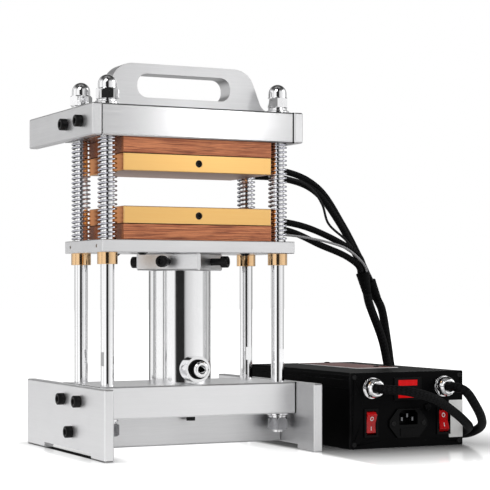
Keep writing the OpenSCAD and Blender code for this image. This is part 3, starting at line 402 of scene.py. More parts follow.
@dataclass(frozen=True)
class AnodisedPlaten(MachinedMetal):
    """Anodised plate with coppery ends and pressing faces in a darker brown of painted shade."""

    ends: Tone = (226, 142, 74)
    # Painted shade: the pressing faces, across Z, get a darker brown than the rest.
    faces: Tone = (172, 130, 112)

    def shade(self, s: Surface) -> None:
        """Tints the machined colour by the way that each face looks.

        Args:
            s: Graph of the material.
        """
        super().shade(s)
        normal = s.split(s.add("ShaderNodeTexCoord").outputs["Normal"])
        patchiness = s.ramp(s.noise(s.place, 30.0, 4.0), 0.2, 0.8, 0.85, 1.0)
        for axis, tone in ((0, self.ends), (2, self.faces)):
            share = s.ramp(s.math("ABSOLUTE", normal[axis]), 0.75, 0.95)
            s.give(Base_Color=s.mix(s.times(share, patchiness), s.colour, tint(*tone)))


@dataclass(frozen=True)
class Polished(Finish):
    """Chromed or polished metal, with faint rubs."""

    bright: Tone
    rough: float
    change: int = 8

    def shade(self, s: Surface) -> None:
        """Keeps the metal bright, with a few rubbed patches.

        Args:
            s: Graph of the material.
        """
        specks = s.effect(speck_tree, Size=1400.0)
        soft = tuple(max(0, share - self.change) for share in self.bright)
        s.give(Base_Color=s.mix(specks["Cloud"], tint(*soft), tint(*self.bright)), Metallic=1.0,
               Roughness=s.ramp(specks["Cloud"], 0.0, 1.0, self.rough, self.rough + 0.05))
        s.bump(specks["Tooth"], 0.05, 0.00001)


@dataclass(frozen=True)
class InnerShadedWire(Polished):
    """Plated wire that is bright outside and painted dark on its inner side, as the shade inside the spring."""

    def shade(self, s: Surface) -> None:
        """Darkens the wire by how far it looks inward, which the spring's mesh carries.

        Args:
            s: Graph of the material.
        """
        super().shade(s)
        outward = s.add("ShaderNodeAttribute", {"attribute_name": "outward"}).outputs["Fac"]
        shade_edge_noise = s.ramp(s.noise(s.place, 700.0), *USUAL, -0.12, 0.12)
        unshaded = s.ramp(s.math("ADD", outward, shade_edge_noise), 0.0, 0.85, 0.02, 1.0)
        # Painted shade: the wire's inner side, which faces the post, is mixed towards near-black.
        s.give(Base_Color=s.mix(unshaded, tint(14, 13, 13), s.colour))


@dataclass(frozen=True)
class WoodBoard(Finish):
    """Insulating board with a wood grain printed or pressed along X."""

    dark: Tone = (142, 68, 40)
    light: Tone = (226, 144, 94)
    streaks: Tone = (86, 30, 14)
    patches: Tone = (226, 146, 96)
    rubbed: Tone = (226, 158, 112)

    def shade(self, s: Surface) -> None:
        """Lays long fibres, darker streaks and pale patches over the board.

        Args:
            s: Graph of the material.
        """
        fibre = s.noise(s.stretched(s.place, (0.018, 0.5, 1.0)), 1300.0, 6.0, 0.75)
        streak = s.noise(s.stretched(s.place, (0.025, 0.8, 1.0)), 900.0, 4.0, 0.65)
        cloud = s.noise(s.stretched(s.place, (0.2, 1.0, 1.0)), 90.0)
        base = s.mix(s.ramp(fibre, 0.36, 0.64), tint(*self.dark), tint(*self.light))
        base = s.mix(s.ramp(streak, 0.52, 0.62, 0.0, 0.75), base, tint(*self.streaks))
        base = s.mix(s.ramp(cloud, 0.54, 0.72, 0.0, 0.4), base, tint(*self.patches))
        s.give(Base_Color=s.mix(s.effect(wear_and_sheen_tree, Amount=0.4)["Edge"], base, tint(*self.rubbed)),
               Roughness=s.ramp(fibre, *USUAL, 0.62, 0.45))
        s.bump(fibre, 0.35, 0.0002)


@dataclass(frozen=True)
class Toothed(Finish):
    """Plain surface with a fine tooth, slow clouds of tone and rubbed edges."""

    dark: Tone
    light: Tone
    rough: float = 0.4
    size: float = 2400.0
    wear_and_sheen: float = 0.25
    gloss: float = 0.3
    depth: float = 0.00005
    relief: float = 0.15
    spread: Spot = (0.04, 0.06)
    coat: float = 0.0
    rubbed: Tone | None = None

    def shade(self, s: Surface) -> None:
        """Gives the surface its tooth, clouds and edges, with an optional gloss coat.

        Args:
            s: Graph of the material.
        """
        specks = s.effect(speck_tree, Size=self.size)
        edge = s.effect(wear_and_sheen_tree, Amount=self.wear_and_sheen)["Edge"]
        colour = s.mix(specks["Cloud"], tint(*self.dark), tint(*self.light))
        rubbed = self.rubbed or (min(255, share + 30) for share in self.light)
        less, more = self.spread
        s.give(Base_Color=s.mix(edge, colour, tint(*rubbed)), Specular_IOR_Level=self.gloss,
               Roughness=s.ramp(specks["Tooth"], *USUAL, self.rough - less, self.rough + more),
               Coat_Weight=self.coat, Coat_Roughness=0.08)
        s.bump(specks["Tooth"], self.relief, self.depth)


@dataclass(frozen=True)
class BlackMetal(Toothed):
    """Blacked steel or black anodised metal."""

    dark: Tone = (9, 9, 10)
    light: Tone = (20, 20, 21)
    rough: float = 0.34
    size: float = 2600.0
    wear_and_sheen: float = 0.5
    gloss: float = 0.2
    depth: float = 0.00004
    relief: float = 0.2
    spread: Spot = (0.05, 0.08)
    rubbed: Tone | None = (72, 72, 74)


@dataclass(frozen=True)
class PrintedPlate(Toothed):
    """Bare label or name plate with a faint sheen and no words."""

    rough: float = 0.42
    size: float = 1800.0
    wear_and_sheen: float = 0.0
    gloss: float = 0.4
    depth: float = 0.00002
    relief: float = 0.08
    spread: Spot = (0.04, 0.08)


@dataclass(frozen=True)
class RedWindow(Finish):
    """Clear red filter in front of a number display that is off."""

    cell_pitch: float = 8.4

    def shade(self, s: Surface) -> None:
        """Shows the faint darker cells of the display behind a glossy filter, which has a faint painted glow.

        Args:
            s: Graph of the material.
        """
        specks = s.effect(speck_tree, Size=900.0)
        along = s.times(s.split(s.place)[0], math.pi / (self.cell_pitch * MM))
        cell = s.ramp(s.math("ABSOLUTE", s.math("SINE", along)), 0.12, 0.4)
        colour = s.mix(s.times(cell, 0.3), tint(206, 14, 18), tint(172, 8, 12))
        colour = s.mix(s.times(specks["Cloud"], 0.2), colour, tint(224, 26, 28))
        # Painted light: the filter glows faintly in its own colour, though the display is off.
        s.give(Base_Color=colour, Roughness=0.14, Specular_IOR_Level=0.12, Emission_Color=colour,
               Emission_Strength=0.2)


@dataclass(frozen=True)
class Braided(Finish):
    """Braided sleeve of a cable, on the tube's own UV map in metres."""

    strands: float = 8.0
    crossings: float = 260.0
    dark: Tone = (3, 3, 3)
    light: Tone = (24, 24, 26)

    def shade(self, s: Surface) -> None:
        """Crosses the strands and roughens them.

        Args:
            s: Graph of the material.
        """
        sleeve = s.add("ShaderNodeUVMap", {"uv_map": "Sleeve"}).outputs[0]
        weave = s.effect(braid_tree, Place=sleeve, Strands=self.strands, Crossings=self.crossings)
        fuzz = s.noise(s.place, 1500.0)
        light = s.times(weave["Light"], s.ramp(fuzz, *USUAL, 0.35, 1.0))
        s.give(Base_Color=s.mix(light, tint(*self.dark), tint(*self.light)), Specular_IOR_Level=0.08,
               Roughness=s.ramp(fuzz, *USUAL, 0.5, 0.72))
        s.bump(weave["Height"], 0.6, 0.0004)


@dataclass(frozen=True)
class CircuitBoard(Finish):
    """Green board with copper tracks under its lacquer."""

    def shade(self, s: Surface) -> None:
        """Draws tracks as cell borders under a gloss coat.

        Args:
            s: Graph of the material.
        """
        cells = s.add("ShaderNodeTexVoronoi", {"feature": "DISTANCE_TO_EDGE"}, Vector=s.place, Scale=160.0)
        track = s.ramp(cells.outputs[0], 0.03, 0.06, 1.0, 0.0)
        s.give(Base_Color=s.mix(track, tint(18, 74, 40), tint(52, 126, 66)), Roughness=0.3, Coat_Weight=0.4)


MILLED_X = MachinedMetal("Aluminium milled along X", cool(226), cool(240))
BASE_X = MachinedMetal("Aluminium of the base, along X", cool(240), cool(250), rough=0.34)
# A darker copy of the base's aluminium for the cross bar: painted shade under the base block.
BAR_SHADED = MachinedMetal("Aluminium of the cross bar", cool(218), cool(234), rough=0.34)
# A darker copy of the side plates' aluminium for the right plate: painted shade.
BASE_SHADED_SIDE = MachinedMetal("Aluminium of the base, far side", cool(222), cool(236), Along.Y, rough=0.38)
BASE_Y = MachinedMetal("Aluminium of the base, along Y", cool(243), cool(252), Along.Y, rough=0.38)
TOP_X = MachinedMetal("Aluminium of the top block", cool(201), cool(217), rough=0.23, spread=0.04,
                      line_depth=0.000006, cloud=0.15)
TOP_Y = MachinedMetal("Aluminium of the top's sides", cool(222), cool(240), Along.Y, rough=0.36)
HANDLE_METAL = MachinedMetal("Aluminium of the handle", cool(209), cool(228), rough=0.36)
COLLAR_STEEL = MachinedMetal("Ground steel of the collar", cool(218), cool(238), rough=0.3, spread=0.06)
GOLD = AnodisedPlaten("Gold anodised aluminium", (248, 197, 120), (250, 203, 129), rough=0.35, spread=0.012,
                      metallic=0.9, line_depth=0.000001, cloud=0.1)
BRONZE = Polished("Turned bronze", (246, 206, 158), 0.1)
CHROME = Polished("Polished chrome", cool(251), 0.03, 3)
NUT_ZINC = Polished("Zinc plated nut", (178, 178, 181), 0.2, 26)
CYLINDER_CHROME = Polished("Chromed cylinder", cool(246), 0.06, 4)
SPRING_WIRE = InnerShadedWire("Plated spring wire", (214, 214, 222), 0.1)
STEEL = MachinedMetal("Turned steel", (168, 170, 174), (214, 215, 218), Along.Y)
SCREW_BLACK = BlackMetal("Blacked screw steel")
CASE_BLACK = BlackMetal("Black anodised case", (1, 1, 1), (2, 2, 3), 0.5, 2200.0, 0.35, 0.025, 0.000004)
PANEL_BLACK = BlackMetal("Black front panel", (3, 3, 4), (6, 6, 7), 0.36, 2600.0, 0.3, 0.05, 0.000004)
PLASTIC_BLACK = Toothed("Black moulded plastic", (2, 2, 3), (6, 6, 7), 0.3, gloss=0.1)
RUBBER = Toothed("Black rubber", (4, 4, 5), (10, 10, 11), 0.6, 1600.0, gloss=0.08)
ROCKER_RED = Toothed("Red rocker plastic", (172, 8, 14), (200, 16, 20), 0.2, depth=0.00002, coat=0.3)
# The pins are darkened to stand in for the shade inside the inlet's shroud.
PIN_SHADED_STEEL = MachinedMetal("Steel of the pins", (100, 101, 104), (138, 139, 142), Along.Y)
BOARD = WoodBoard("Wood grained board")
WINDOW_RED = RedWindow("Red display window")
CIRCUIT = CircuitBoard("Lacquered circuit board")
SLEEVE = Braided("Black braided sleeve")
THICK_SLEEVE = Braided("Black braided sleeve, thick", 10.0, 210.0)
SENSOR_WIRE = Braided("Grey sensor wire", 6.0, 700.0, (92, 92, 94), (196, 196, 198))
DARK_WIRE = Braided("Dark sensor wire", 6.0, 700.0, (10, 10, 11), (58, 58, 60))
LABEL_WHITE = PrintedPlate("Bare white label", (242, 242, 240), (252, 252, 251))
PLATE_WHITE = PrintedPlate("Bare plate", (240, 240, 240), (250, 250, 250))
PLATE_MIDDLE = PrintedPlate("Bare plate, tinted middle", (96, 56, 52), (128, 78, 72), gloss=0.08)
# Near-black for the frames laid in joints between parts, as painted shade.
SEAM_SHADE = Toothed("Dark seam", (6, 6, 6), (16, 15, 15), 0.7, gloss=0.05)
MARK_WHITE = PrintedPlate("White switch mark", (220, 220, 220), (238, 238, 238))


def link_mesh(name: str, mesh: bpy.types.Mesh, finish: Finish | None = None) -> Item:
    """Puts a mesh in the scene as an object at the origin.

    Args:
        name: Name of the object.
        mesh: Its mesh.
        finish: Its finish, if it gets one now.

    Returns:
        The object.
    """
    made = bpy.data.objects.new(name, mesh)
    bpy.context.scene.collection.objects.link(made)
    if finish:
        set_finish(made, finish)
    return made


def set_finish(item: Item, finish: Finish) -> None:
    """Gives one finish to the whole of an object."""
    item.data.materials.clear()
    item.data.materials.append(finish.material())


def declared(piece: Item, body: Body | None, slot: str = "", *nodes: str) -> Item:
    """Sets the body that a piece rides on and hides the CAD nodes that it stands for.

    Args:
        piece: The piece.
        body: Body that it rides on, or None to leave it on no body.
        slot: The record's material slot, if the piece takes one. Not used.
        *nodes: The CAD nodes, if it stands for any.

    Returns:
        The same piece.
    """
    if body:
        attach(piece, body.value)
    if nodes:
        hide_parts(*nodes)
    return piece


def baked(item: Item) -> Item:
    """Applies all modifiers of an object to a plain mesh of its own.

    Args:
        item: The object whose modifiers are applied.

    Returns:
        The same object, with a plain mesh and no modifier.
    """
    bpy.context.view_layer.update()
    graph = bpy.context.evaluated_depsgraph_get()
    plain = bpy.data.meshes.new_from_object(item.evaluated_get(graph), preserve_all_data_layers=True,
                                            depsgraph=graph)
    item.modifiers.clear()
    old, item.data = item.data, plain
    if old.users == 0:
        bpy.data.meshes.remove(old)
    return item


def smooth(mesh: bpy.types.Mesh, angle: float) -> None:
    """Shades a mesh smooth between its sharp edges.

    Args:
        mesh: The mesh.
        angle: Least angle in degrees of a sharp edge.
    """
    for face in mesh.polygons:
        face.use_smooth = True
    mesh.set_sharp_from_angle(angle=math.radians(angle))


def eased(item: Item, width: float, steps: int = 2, angle: float = 28.0) -> Item:
    """Rounds the sharp edges of a piece, marks them and shades its curved faces smooth.

    Args:
        item: The piece, a closed mesh.
        width: Width of the rounded edge in millimetres.
        steps: Faces across each rounded edge.
        angle: Least angle in degrees that counts as an edge.

    Returns:
        The same piece, with a plain mesh.
    """
    smooth(item.data, angle)
    for face in item.data.polygons:
        face.material_index = 0
    item.data.materials.clear()
    for _ in range(2):
        item.data.materials.append(None)
    bevel = item.modifiers.new("Edges", "BEVEL")
    bevel.width, bevel.segments, bevel.material = width * MM, steps, 1
    bevel.limit_method, bevel.angle_limit = "ANGLE", math.radians(angle)
    bevel.use_clamp_overlap, bevel.harden_normals = True, False
    bevel.miter_outer = "MITER_ARC"
    item.modifiers.new("Flat faces", "WEIGHTED_NORMAL").keep_sharp = True
    baked(item)
    edge = item.data.attributes.new("edge", "FLOAT", "FACE")
    for face in item.data.polygons:
        edge.data[face.index].value = float(face.material_index)
        face.material_index = 0
    return item


def merged_copy(node: str, name: str, joined: bool = True) -> Item:
    """Copies a CAD node and joins its loose triangles into flat faces.

    Args:
        node: Name of the CAD node.
        name: Name of the new piece.
        joined: Whether triangles of one plane become one face, which faces with many holes don't bear.

    Returns:
        The new piece.
    """
    work = bmesh.new()
    work.from_mesh(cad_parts[node].data)
    bmesh.ops.remove_doubles(work, verts=work.verts, dist=CAD_WELD)
    if joined:
        bmesh.ops.dissolve_limit(work, angle_limit=ONE_PLANE, verts=work.verts, edges=work.edges,
                                 delimit={"NORMAL"})
    for layer in list(work.loops.layers.uv):
        work.loops.layers.uv.remove(layer)
    return link_mesh(name, plain_mesh(work, name))


def dressed(node: str, finish: Finish, slot: str, width: float = 0.3, body: Body = Body.FRAME,
            steps: int = 2, joined: bool = True) -> None:
    """Stands a piece with eased edges in for a CAD node.

    Args:
        node: Name of the CAD node.
        finish: Finish of the piece.
        slot: The record's material slot.
        width: Width of the rounded edges in millimetres.
        body: Body that the piece rides on.
        steps: Faces across each rounded edge.
        joined: Whether flat faces are joined before the edges are eased.
    """
    piece = eased(merged_copy(node, node + "_eased", joined), width, steps)
    set_finish(piece, finish)
    declared(piece, body, slot, node)


def kept(finish: Finish, *nodes: str) -> None:
    """Gives a finish to CAD nodes whose own shape is shown.

    Args:
        finish: The finish.
        *nodes: Names of the CAD nodes.
    """
    for name in nodes:
        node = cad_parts[name]
        if not node.data.materials:
            node.data.materials.append(finish.material())
        for place in node.material_slots:
            place.material = finish.material()


def plain_mesh(work: bmesh.types.BMesh, name: str, sharp: float | None = None) -> bpy.types.Mesh:
    """Turns the faces of a working mesh outward and makes a plain mesh of it.

    Args:
        work: The working mesh, which is freed.
        name: Name of the plain mesh.
        sharp: Angle in degrees of its sharp edges, if it is to be shaded smooth.

    Returns:
        The plain mesh.
    """
    bmesh.ops.recalc_face_normals(work, faces=work.faces)
    mesh = bpy.data.meshes.new(name)
    work.to_mesh(mesh)
    work.free()
    if sharp:
        smooth(mesh, sharp)
    return mesh


def round_vertex(work: bmesh.types.BMesh, radius: float, angle: float, height: float) -> bmesh.types.BMVert:
    """Adds a vertex at a radius, an angle and a height and returns it."""
    return work.verts.new((radius * math.cos(angle) * MM, radius * math.sin(angle) * MM, height * MM))


def skin(work: bmesh.types.BMesh, rings: list[list[bmesh.types.BMVert]], looped: bool = False
         ) -> list[list[bmesh.types.BMFace]]:
    """Joins each ring to the next with four-sided faces.

    Args:
        work: The working mesh.
        rings: Rings of vertices, all of one length.
        looped: Whether the last ring joins the first.

    Returns:
        A row of faces for each pair of rings.
    """
    return [[work.faces.new((first[n], first[(n + 1) % len(first)], second[(n + 1) % len(first)], second[n]))
             for n in range(len(first))]
            for first, second in zip(rings, rings[1:] + rings[:1] if looped else rings[1:])]


def turned_mesh(name: str, profile: Sequence[tuple[float, ...]], sides: int = 72) -> bpy.types.Mesh:
    """Turns a profile about Z, with flats of a hexagon where they are asked for.

    Args:
        name: Name of the mesh.
        profile: Radius and height of each point in millimetres, closed to a loop, with the width
            across flats after them where a hexagon cuts the ring.
        sides: Faces round the piece, a multiple of six.

    Returns:
        The closed mesh.
    """
    work = bmesh.new()
    rings = []
    for radius, height, *flats in profile:
        ring = []
        for step in range(sides):
            angle = FULL_TURN * step / sides
            off = (math.degrees(angle) + 30) % 60 - 30
            reach = min([radius, *(across / 2 / math.cos(math.radians(off)) for across in flats)])
            ring.append(round_vertex(work, reach, angle, height))
        rings.append(ring)
    skin(work, rings, looped=True)
    bmesh.ops.remove_doubles(work, verts=work.verts, dist=TURNED_WELD)
    bmesh.ops.dissolve_degenerate(work, edges=work.edges, dist=NO_LENGTH)
    return plain_mesh(work, name, SHARP)


def prism_mesh(name: str, outline: Sequence[Spot], depth: float,
               holes: Sequence[Sequence[Spot]] = ()) -> bpy.types.Mesh:
    """Raises a flat outline with holes to a closed plate, its face in XZ and its depth along +Y.

    Args:
        name: Name of the mesh.
        outline: Points of the outer edge in millimetres.
        depth: Thickness in millimetres.
        holes: Points of each hole's edge.

    Returns:
        The closed mesh.
    """
    work = bmesh.new()
    edges = []
    for loop in (outline, *holes):
        points = [work.verts.new((x * MM, 0.0, z * MM)) for x, z in loop]
        edges += [work.edges.new(pair) for pair in zip(points, points[1:] + points[:1])]
    bmesh.ops.triangle_fill(work, use_beauty=True, use_dissolve=True, edges=edges)
    lifted = [part for part in bmesh.ops.extrude_face_region(work, geom=list(work.faces))["geom"]
              if isinstance(part, bmesh.types.BMVert)]
    bmesh.ops.translate(work, vec=(0, depth * MM, 0), verts=lifted)
    return plain_mesh(work, name)


def at(x: float, y: float, z: float) -> Matrix:
    """Returns the matrix of a place that is given in millimetres."""
    return Matrix.Translation(Vector((x, y, z)) * MM)


def on_press(x: float, y: float, z: float) -> Point:
    """Returns a place of the press in millimetres of the row frame."""
    return tuple(PRESS + Vector((x, y, z)))


def corners(x: float, y: float) -> list[Spot]:
    """Returns the four places at the corners of a rectangle, centred."""
    return [(-x, -y), (x, -y), (-x, y), (x, y)]


def rectangle(left: float, low: float, right: float, high: float) -> list[Spot]:
    """Returns the outline of a rectangle."""
    return [(left, low), (right, low), (right, high), (left, high)]


def shade_seam(name: str, first: str, second: str, axis: int, body: Body = Body.FRAME, thick: float = 0.6) -> None:
    """Lays a dark frame of painted shade round the joint where two CAD nodes meet face to face.

    Args:
        name: Name of the new piece.
        first: One CAD node.
        second: The other CAD node.
        axis: Axis across the joint, 0 for X or 2 for Z.
        body: Body that the line rides on.
        thick: Width of the line in millimetres.
    """
    proud, inset = 0.02, 4.0
    (low_a, high_a), (low_b, high_b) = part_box(first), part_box(second)
    plane = high_a[axis] if abs(high_a[axis] - low_b[axis]) < abs(low_a[axis] - high_b[axis]) else low_a[axis]
    (left, right), (near, far) = [
        (max(low_a[n], low_b[n]) / MM - proud, min(high_a[n], high_b[n]) / MM + proud)
        for n in ((1, 2) if axis == 0 else (0, 1))]
    hole = rectangle(left + inset, near + inset, right - inset, far - inset)
    piece = link_mesh(name, prism_mesh(name, rectangle(left, near, right, far), thick, [hole]), SEAM_SHADE)
    place = [0.0, 0.0, 0.0]
    place[axis] = plane / MM + thick / 2
    piece.data.transform(at(*place) @ (Matrix.Rotation(QUARTER, 4, "Z") if axis == 0
                                       else Matrix.Rotation(-QUARTER, 4, "X")))
    declared(piece, body)


class CopyTree(Graph):
    """A Geometry Nodes tree that sets a shape at the points of an object."""

    def __init__(self, name: str, **inputs: str) -> None:
        """Makes the tree with its inputs.

        Args:
            name: Name of the tree.
            **inputs: End of the socket type for each input, with _ for a space.
        """
        super().__init__(bpy.data.node_groups.new(name, "GeometryNodeTree"))
        face = self.tree.interface
        for label, kind in {"Geometry": "Geometry", **inputs, "Finish": "Material"}.items():
            face.new_socket(name=label.replace("_", " "), in_out="INPUT", socket_type="NodeSocket" + kind)
        face.new_socket(name="Geometry", in_out="OUTPUT", socket_type="NodeSocketGeometry")
        self.given = self.tree.nodes.new("NodeGroupInput").outputs

    def close(self, shape: Socket, **placing: object) -> Tree:
        """Sets the shape at the points, makes it plain and gives it the finish.

        Args:
            shape: The shape that is repeated.
            **placing: Other inputs of the node that sets the copies.

        Returns:
            The tree.
        """
        points = self.add("GeometryNodeMeshToPoints", Mesh=self.given["Geometry"])
        copies = self.add("GeometryNodeInstanceOnPoints", Points=points.outputs[0], Instance=shape, **placing)
        real = self.add("GeometryNodeRealizeInstances", Geometry=copies.outputs[0])
        finish = self.add("GeometryNodeSetMaterial", Geometry=real.outputs[0], Material=self.given["Finish"])
        self.feed(finish.outputs[0], self.tree.nodes.new("NodeGroupOutput").inputs["Geometry"])
        return self.tree


@functools.cache
def turned_copies() -> Tree:
    """Builds the tree that sets one object at many points, each turned its own way.

    Returns:
        The tree.
    """
    g = CopyTree("Set at places", Shape="Object")
    shape = g.add("GeometryNodeObjectInfo", Object=g.given["Shape"])
    turn = g.add("GeometryNodeInputNamedAttribute", {"data_type": "FLOAT_VECTOR"}, Name="turn")
    return g.close(shape.outputs["Geometry"], Rotation=turn.outputs["Attribute"])


def run_tree(name: str, tree: Tree, places: Sequence[tuple[Point, Point]], finish: Finish,
             **values: object) -> Item:
    """Runs a tree of copies over places and makes one plain mesh of them.

    Args:
        name: Name of the piece.
        tree: The tree.
        places: Place in millimetres and turn in radians, for each copy.
        finish: Finish of the piece.
        **values: Values of the tree's other inputs.

    Returns:
        The piece, which rides on nothing yet.
    """
    points = bpy.data.meshes.new(name + " places")
    points.from_pydata([tuple(Vector(place) * MM) for place, _ in places], [], [])
    turn = points.attributes.new("turn", "FLOAT_VECTOR", "POINT")
    for index, (_, angles) in enumerate(places):
        turn.data[index].vector = angles
    piece = link_mesh(name, points)
    modifier = piece.modifiers.new("Places", "NODES")
    modifier.node_group = tree
    keys = {s.name: s.identifier for s in tree.interface.items_tree if s.in_out == "INPUT"}
    for label, value in {**values, "Finish": finish.material()}.items():
        modifier[keys[label.replace("_", " ")]] = value
    return baked(piece)


def repeated(name: str, shape: bpy.types.Mesh, finish: Finish, places: Sequence[tuple[Point, Point]]) -> Item:
    """Sets a shape at places, each turned its own way.

    Args:
        name: Name of the piece.
        shape: Mesh that is repeated.
        finish: Finish of the piece.
        places: Place in millimetres and turn in radians, for each copy.

    Returns:
        The piece, which rides on nothing yet.
    """
    pattern = link_mesh(name + " shape", shape)
    piece = run_tree(name, turned_copies(), places, finish, Shape=pattern)
    bpy.data.objects.remove(pattern)
    return piece


@dataclass
class CapScrew:
    """Socket head cap screw with a knurled, blacked head. Its head stands on z = 0, pointing up."""

    size: float = 8.0
    socket_depth: float = 4.0
    shank: float = 6.0
    knurl: float = 0.16
    sides: int = 72
    head_share: float = 1.625
    socket_share: float = 0.75

    def mesh(self) -> bpy.types.Mesh:
        """Builds the head with its knurl and hexagon socket, and a stretch of shank under it.

        Returns:
            The closed mesh.
        """
        head, flat, top = self.size * self.head_share / 2, self.size * self.socket_share, self.size
        floor = top - self.socket_depth
        mesh = turned_mesh("cap screw", [
            (self.size / 2, -self.shank), (self.size / 2, 0.0), (head - 0.3, 0.0), (head, 0.35),
            (head, top * 0.3), (head, top * 0.6), (head, top - 0.9), (head - 0.25, top - 0.45),
            (head - 0.9, top - 0.05), (flat / 2 + 1.0, top - 0.05), (flat / 2 + 0.55, top - 0.35),
            (PAST_HEX, top - 0.6, flat), (PAST_HEX, floor, flat), (0.0, floor - 0.6), (0.0, -self.shank)],
            self.sides)
        for vertex in mesh.vertices:
            x, y, z = vertex.co / MM
            radius, side = math.hypot(x, y), round(math.atan2(y, x) / FULL_TURN * self.sides)
            if radius > head - 0.05 and 0.3 < z < top - 0.6 and side % 2:
                vertex.co.xy *= 1 - self.knurl / radius
        return mesh

    def set(self, name: str, node: str, places: Sequence[tuple[Point, Point]], body: Body = Body.FRAME) -> None:
        """Sets the screw at places, in place of a CAD node."""
        declared(repeated(name, self.mesh(), SCREW_BLACK, places), body, "screw_black", node)


@dataclass(frozen=True)
class Lamp:
    """One soft lamp, its places and size in metres and its power in watts."""

    name: str
    place: Point
    aim: Point
    size: Spot
    power: float

    def hang(self) -> None:
        """Puts the lamp in the scene."""
        data = bpy.data.lights.new(self.name, "AREA")
        data.shape, data.energy = "RECTANGLE", self.power
        data.size, data.size_y = self.size
        item = bpy.data.objects.new(self.name, data)
        item.location = self.place
        item.rotation_euler = (Vector(self.aim) - Vector(self.place)).to_track_quat("-Z", "Y").to_euler()
        bpy.context.scene.collection.objects.link(item)


@dataclass
class Studio:
    """Camera, floor, sky and lamps. Bands are ramps: from, to, level before and level after."""

    camera_place: Point = (-0.842155, -1.72223, 0.1793)
    camera_turn: float = -0.457
    lens: float = 120.92
    shift: float = 0.0916
    sensor: float = 36.0
    clip: Spot = (0.05, 50.0)
    sky: float = 0.8
    sky_falls: tuple[float, ...] = (0.4, 0.7, 1.0, 0.1)
    sky_crown: tuple[float, ...] = (0.88, 0.98, 0.0, 0.25)
    floor_reach: float = 12.0
    floor_rough: float = 0.1
    floor_gloss: float = 0.7
    # Painted shadow on the floor: darker near the case, nearly black under the left base plate, and with less
    # glow near both.
    box_shadow_tone: tuple[float, ...] = (0.0, 0.1, 0.4, 0.88)
    flags_begin: Spot = (0.35, 0.6)
    under_base_shadow: float = 0.03
    base_shade: tuple[float, ...] = (0.0, 0.025, 0.45, 1.0)
    box_shade: Spot = (0.0, 0.18)
    box_shade_ends: tuple[float, ...] = (0.022, 0.042, 1.0, 0.0)
    glow_seen: float = 0.7
    glow_mirrored: float = 0.09
    flags: tuple[Spot, ...] = (
        (-180, 0.6), (-162, 0.6), (-158, 0.2), (-140, 0.2), (-134, 0.9), (-115, 0.95), (-113, 0.35),
        (-104.5, 0.35), (-103.5, 1.0), (-63, 1.0), (-62, 0.25), (-58, 0.25), (-57, 1.0), (-18, 0.98),
        (-12, 0.02), (18, 0.02), (21, 0.4), (28, 0.66), (60, 0.88), (94, 0.95), (102, 0.55), (120, 0.5),
        (124, 0.3), (128, 0.75), (138, 0.7), (142, 0.25), (158, 0.2), (162, 0.6), (180, 0.6))
    lamps: tuple[Lamp, ...] = (
        Lamp("Key lamp", (-1.6, -1.6, 2.2), (0, 0, 0.2), (1.4, 1.4), 16.0),
        Lamp("Side lamp", (2.0, -0.9, 1.2), (0, 0, 0.2), (1.2, 1.2), 9.0),
        Lamp("Strip lamp", (0.182, -0.622, 0.435), (-0.069, -0.084, 0.36), (0.1, 0.05), 0.13))

    def camera(self) -> None:
        """Sets the camera at the photograph's angle."""
        data = bpy.data.cameras.new("Camera")
        data.lens, data.sensor_width, data.shift_y = self.lens, self.sensor, self.shift
        data.clip_start, data.clip_end = self.clip
        item = bpy.data.objects.new("Camera", data)
        item.location = self.camera_place
        item.rotation_euler = (QUARTER, 0.0, self.camera_turn)
        bpy.context.scene.collection.objects.link(item)
        bpy.context.scene.camera = item

    def bands(self, g: Graph, vector: Socket) -> Socket:
        """Returns how bright the studio is in a direction, from dark flags and pale walls.

        Args:
            g: Graph of the world's or the floor's material.
            vector: The direction, or a place on the floor.

        Returns:
            A level from 0 to 1.
        """
        sine, cosine = math.sin(self.camera_turn), math.cos(self.camera_turn)
        facing, across = (
            g.add("ShaderNodeVectorMath", {"operation": "DOT_PRODUCT"}, i0=vector, i1=way).outputs["Value"]
            for way in ((sine, -cosine, 0.0), (cosine, sine, 0.0)))
        turn = g.math("DIVIDE", g.math("ARCTAN2", across, facing), FULL_TURN)
        ramp = g.add("ShaderNodeValToRGB", i0=g.math("ADD", turn, 0.5))
        stops = ramp.color_ramp.elements
        while len(stops) > 1:
            stops.remove(stops[-1])
        for index, (degrees, level) in enumerate(self.flags):
            place = degrees / 360 + 0.5
            stop = stops.new(place) if index else stops[0]
            stop.position, stop.color = place, (level, level, level, 1.0)
        return ramp.outputs[0]

    @staticmethod
    def rays(g: Graph) -> tuple[Socket, Socket]:
        """Returns which rays look straight at a surface, also through glass, and which are mirrored."""
        light = g.add("ShaderNodeLightPath").outputs
        return g.math("MAXIMUM", light["Is Camera Ray"], light["Is Transmission Ray"]), light["Is Glossy Ray"]

    def world(self) -> None:
        """Makes a pale sky with dark flags and a dim top, which only polished metal shows."""
        world = bpy.data.worlds.new("Pale studio")
        bpy.context.scene.world = world
        world.use_nodes = True
        g = Graph(world.node_tree)
        seen, glossy = self.rays(g)
        along = g.add("ShaderNodeTexCoord").outputs["Generated"]
        height = g.split(along)[2]
        fall = g.math("ADD", g.ramp(height, *self.sky_falls), g.ramp(height, *self.sky_crown))
        level = g.math("ADD", g.times(glossy, self.bands(g, along), fall), g.times(g.rest(glossy), self.sky))
        background = world.node_tree.nodes["Background"].inputs
        g.feed(g.math("ADD", seen, g.times(g.rest(seen), level)), background["Strength"])
        g.feed(WHITE, background["Color"])

    @staticmethod
    def clearance(s: Surface, node: str) -> Socket:
        """Measures how far a place on the floor is from a CAD node's box.

        Args:
            s: Graph of the floor's material.
            node: Name of the CAD node.

        Returns:
            The distance in metres.
        """
        (low, high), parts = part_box(node), s.split(s.place)
        sides = []
        for axis in (0, 1):
            off = s.math("ABSOLUTE", s.math("SUBTRACT", parts[axis], (low[axis] + high[axis]) / 2))
            sides.append(s.math("MAXIMUM", s.math("SUBTRACT", off, (high[axis] - low[axis]) / 2), 0.0))
        return s.hypotenuse(*sides)

